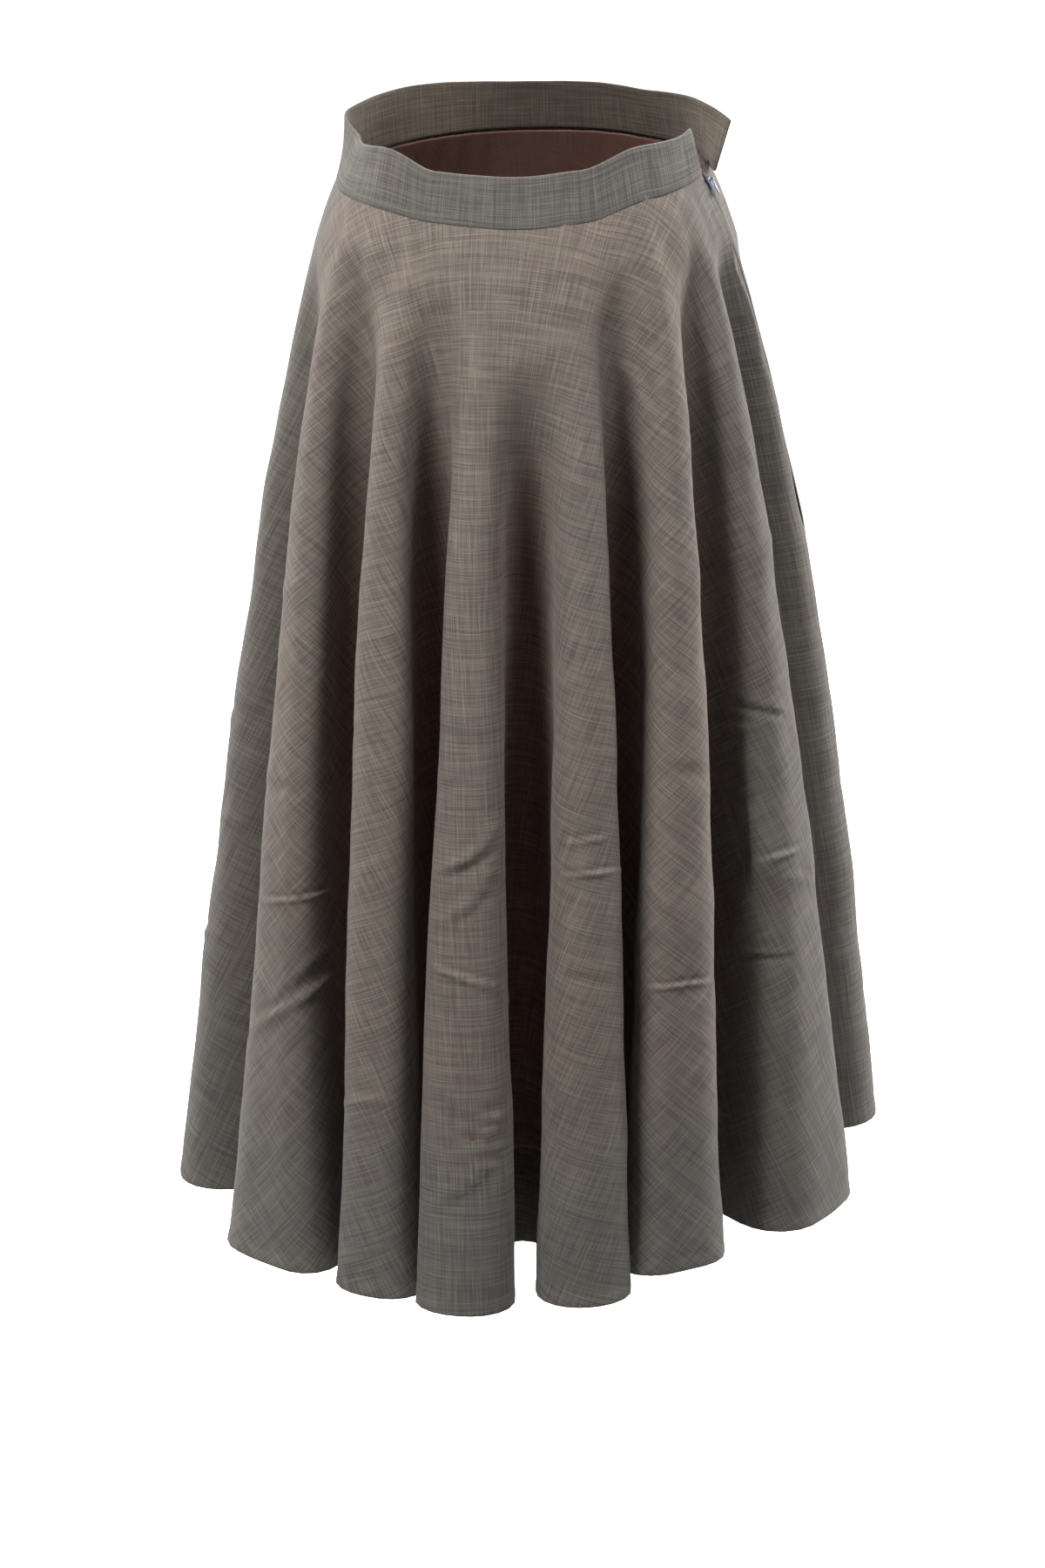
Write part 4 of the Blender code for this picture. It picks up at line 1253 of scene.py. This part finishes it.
class SKIRT_OT_zip(bpy.types.Operator):
    """Build the zip's tape, teeth, slider and pull tab."""

    bl_idname = "skirt.zip"
    bl_label = "Zip"

    def execute(self, context):
        self.tape(context)
        self.teeth(context.scene.skirt_zip)
        self.slider()
        self.pull()
        return {"FINISHED"}

    def tape(self, context):
        levels = np.linspace(*TAPE_LEVELS, TAPE_ROWS)
        rows = []
        for level in levels:
            back = np.linspace(-1, 0, 7)[:-1] * TAPE_HALF_WIDTH / side_length(LEFT_SEAM - 1, level)
            front = np.linspace(0, 1, 7) * TAPE_HALF_WIDTH / side_length(LEFT_SEAM, level)
            rows.append(LEFT_SEAM + np.concatenate((back, front)))
        points = face_rows(np.array(rows), levels)
        points = points - normals_of(points) * (TAPE_FACE + 0.0002)
        width = np.linspace(-TAPE_HALF_WIDTH, TAPE_HALF_WIDTH, 13)
        cut = np.stack(np.meshgrid(width, levels * CLOTH_LENGTH), axis=2)
        twill = look("zip_tape_twill", lambda: tape_material(context.scene.skirt_colours))
        made = grid_object("zip_tape_cloth", points[::-1], cut[::-1], twill)
        thicken(made, 0.0004)
        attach(made, SKIRT_BODY)
        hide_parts("zip_tape")

    def teeth(self, settings):
        build = bmesh.new()
        start = SLIDER_TOP_LEVEL + SLIDER_LENGTH + 0.0008
        count = int((ZIP_ENDS * CLOTH_LENGTH - start) / settings.tooth_pitch)
        half = settings.tooth_pitch * TOOTH_HALF
        for number in range(count):
            place = zip_frame(start + number * settings.tooth_pitch)
            side = -1 if number % 2 else 1
            low_y, high_y = sorted(side * reach for reach in TOOTH_REACH)
            verts = block(build, (TOOTH_DEPTHS[0], low_y, -half), (TOOTH_DEPTHS[1], high_y, half))
            for vert in verts:
                if vert.co.y * side > 0.0005:
                    vert.co.z *= 0.7
            bmesh.ops.transform(build, matrix=place, verts=verts)
        made = new_object("zip_teeth", finish_mesh(build, "zip_teeth"), zip_metal())
        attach(made, SKIRT_BODY)
        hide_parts("zip_chain")

    def slider(self):
        place = zip_frame(SLIDER_TOP_LEVEL)
        build = bmesh.new()
        half = SLIDER_WIDTH / 2
        high = SLIDER_CLEAR + SLIDER_THICK
        verts = block(build, (SLIDER_CLEAR, -half, -SLIDER_LENGTH), (high, half, 0.0))
        for vert in verts:
            if vert.co.z < -SLIDER_LENGTH / 2:
                vert.co.y *= 0.72
            elif vert.co.x > SLIDER_CLEAR + 0.001:
                vert.co.z -= 0.0006
        rounded(build, edges_between(build, verts), SLIDER_BEVEL, 3)
        # Two ears carry the pin that the pull hangs on.
        near = PULL_WIDTH * 0.22 + 0.0003
        for side in (-1, 1):
            low_y, high_y = sorted((side * near, side * (near + EAR_THICK)))
            ear = block(
                build, (high - 0.0004, low_y, -PIN_DOWN - EAR_HALF),
                (PIN_OUT + 0.0007, high_y, -PIN_DOWN + EAR_HALF),
            )
            for vert in ear:
                if vert.co.x > high:
                    vert.co.z = -PIN_DOWN + (vert.co.z + PIN_DOWN) * 0.6
            rounded(build, edges_between(build, ear), EAR_BEVEL)
        bmesh.ops.create_cone(
            build, cap_ends=True, segments=14, radius1=PIN_RADIUS, radius2=PIN_RADIUS,
            depth=2 * near + 0.0014,
            matrix=Matrix.Translation((PIN_OUT, 0.0, -PIN_DOWN)) @ Matrix.Rotation(math.pi / 2, 4, "X"),
        )
        bmesh.ops.transform(build, matrix=place, verts=build.verts)
        made = new_object("zip_slider_body", finish_mesh(build, "zip_slider_body"), zip_metal())
        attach(made, SKIRT_BODY)
        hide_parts("zip_slider")

    def pull(self):
        place = zip_frame(SLIDER_TOP_LEVEL) @ Matrix.Translation((PIN_OUT, 0.0, -PIN_DOWN))
        build = bmesh.new()
        half_eye = PULL_WIDTH * 0.22
        thick = PULL_THICK / 2
        shape = (
            (half_eye, -EYE_RADIUS - 0.0001), (half_eye, -0.0042), (PULL_WIDTH / 2 - 0.0003, -0.0054),
            (PULL_WIDTH / 2, -0.0062), (PULL_WIDTH / 2, -PULL_LENGTH + 0.0013),
            (PULL_WIDTH / 2 - 0.0005, -PULL_LENGTH + 0.0004), (PULL_WIDTH / 2 - 0.0012, -PULL_LENGTH),
        )
        outline = list(shape) + [(-y, z) for y, z in reversed(shape)]
        ring = [build.verts.new((-thick, y, z)) for y, z in outline]
        face = build.faces.new(ring)
        lifted = bmesh.ops.extrude_face_region(build, geom=[face])
        top = [item for item in lifted["geom"] if isinstance(item, bmesh.types.BMVert)]
        bmesh.ops.translate(build, vec=(2 * thick, 0.0, 0.0), verts=top)
        rim = [edge for edge in build.edges if abs(edge.verts[0].co.x - edge.verts[1].co.x) < 1e-6]
        rounded(build, rim, EAR_BEVEL)
        middle = EYE_RADIUS + EYE_WALL / 2
        hoop = bmesh.ops.create_circle(build, cap_ends=False, radius=EYE_WALL / 2, segments=8)
        bmesh.ops.scale(build, vec=(1.0, half_eye / (EYE_WALL / 2), 1.0), verts=hoop["verts"])
        bmesh.ops.translate(build, vec=(middle, 0.0, 0.0), verts=hoop["verts"])
        edges = edges_between(build, hoop["verts"])
        bmesh.ops.spin(
            build, geom=list(hoop["verts"]) + edges, cent=(0, 0, 0), axis=(0, 1, 0),
            angle=2 * math.pi, steps=20, use_merge=True,
        )
        bmesh.ops.remove_doubles(build, verts=build.verts, dist=1e-7)
        bmesh.ops.transform(build, matrix=place, verts=build.verts)
        made = new_object("zip_pull_tab", finish_mesh(build, "zip_pull_tab"), zip_metal())
        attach(made, PULL_BODY)
        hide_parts("zip_pull")


class SKIRT_OT_studio(bpy.types.Operator):
    """Add the pale floor, the soft lights and the camera."""

    bl_idname = "skirt.studio"
    bl_label = "Studio"

    def execute(self, context):
        studio = context.scene.skirt_studio
        build = bmesh.new()
        bmesh.ops.create_circle(build, cap_ends=True, radius=FLOOR_RADIUS, segments=96)
        # The floor runs up into a pale wall all round, beyond the lights.
        wall = bmesh.ops.extrude_edge_only(build, edges=[edge for edge in build.edges if edge.is_boundary])
        wall_top = [item for item in wall["geom"] if isinstance(item, bmesh.types.BMVert)]
        bmesh.ops.translate(build, vec=(0.0, 0.0, WALL_HEIGHT), verts=wall_top)
        bmesh.ops.translate(build, vec=(0.0, 0.0, studio.floor_height), verts=build.verts)
        mesh = mesh_from(build, "floor")
        pale, shader = new_material("floor_pale")
        set_values(shader, {
            "Base Color": (0.92, 0.92, 0.92, 1.0), "Roughness": 0.95,
            "Emission Color": (1.0, 1.0, 1.0, 1.0), "Emission Strength": studio.floor_glow,
        })
        floor = new_object("floor", mesh, pale)
        floor.visible_diffuse = False

        world = bpy.data.worlds.new("studio")
        world.use_nodes = True
        nodes = world.node_tree.nodes
        place = nodes.new("ShaderNodeTexCoord")
        height = nodes.new("ShaderNodeSeparateXYZ")
        world.node_tree.links.new(place.outputs["Generated"], height.inputs["Vector"])
        above = ramp(nodes, world.node_tree.links, height.outputs["Z"], -0.55, 0.25)
        shade = nodes.new("ShaderNodeMix")
        shade.data_type = "RGBA"
        set_values(shade, {"A": (0.25, 0.25, 0.25, 1.0), "B": (1.0, 1.0, 1.0, 1.0)})
        world.node_tree.links.new(above, shade.inputs["Factor"])
        sky = nodes["Background"]
        world.node_tree.links.new(shade.outputs["Result"], sky.inputs["Color"])
        sky.inputs["Strength"].default_value = studio.sky
        context.scene.world = world
        context.scene.view_settings.view_transform = "Standard"
        for name, place, setting, share, size in LIGHTS:
            self.area(name, place, getattr(studio, setting) * share, size)

        camera = bpy.data.cameras.new("camera")
        camera.lens = CAMERA_LENS
        camera.sensor_width = CAMERA_SENSOR
        holder = bpy.data.objects.new("camera", camera)
        holder.location = CAMERA_PLACE
        holder.rotation_euler = (math.radians(90.0 - CAMERA_DOWN_DEG), 0.0, 0.0)
        context.scene.collection.objects.link(holder)
        context.scene.camera = holder
        return {"FINISHED"}

    def area(self, name, place, power, size):
        light = bpy.data.lights.new(name, "AREA")
        light.energy = power
        light.size = size
        made = bpy.data.objects.new(name, light)
        made.location = place
        made.rotation_euler = (Vector(LIGHTS_AIM) - Vector(place)).to_track_quat("-Z", "Y").to_euler()
        bpy.context.scene.collection.objects.link(made)


class SKIRT_PT_panel(bpy.types.Panel):
    """Lists the pieces and their settings."""

    bl_idname = "SKIRT_PT_panel"
    bl_label = "Circle Skirt"
    bl_space_type = "VIEW_3D"
    bl_region_type = "UI"
    bl_category = "Skirt"

    def draw(self, context):
        for title, group in SETTINGS.items():
            box = self.layout.box()
            box.label(text=title)
            settings = getattr(context.scene, group[0])
            for name in group[1].__annotations__:
                box.prop(settings, name)
        for operator in OPERATORS:
            self.layout.operator(operator.bl_idname)


SETTINGS = {
    "Colours": ("skirt_colours", SkirtColours),
    "Cloth": ("skirt_cloth", SkirtCloth),
    "Zip": ("skirt_zip", SkirtZip),
    "Studio": ("skirt_studio", SkirtStudio),
}
OPERATORS = (
    SKIRT_OT_wool, SKIRT_OT_lining, SKIRT_OT_waistband, SKIRT_OT_stitches, SKIRT_OT_zip, SKIRT_OT_studio,
)
CLASSES = (*[group[1] for group in SETTINGS.values()], *OPERATORS, SKIRT_PT_panel)


def register():
    for item in CLASSES:
        bpy.utils.register_class(item)
    for name, group in SETTINGS.values():
        setattr(bpy.types.Scene, name, PointerProperty(type=group))


def unregister():
    for name, _ in SETTINGS.values():
        delattr(bpy.types.Scene, name)
    for item in reversed(CLASSES):
        bpy.utils.unregister_class(item)


def main():
    register()
    bpy.ops.skirt.wool()
    bpy.ops.skirt.lining()
    bpy.ops.skirt.waistband()
    bpy.ops.skirt.stitches()
    bpy.ops.skirt.zip()
    bpy.ops.skirt.studio()


if __name__ == "__main__":
    main()
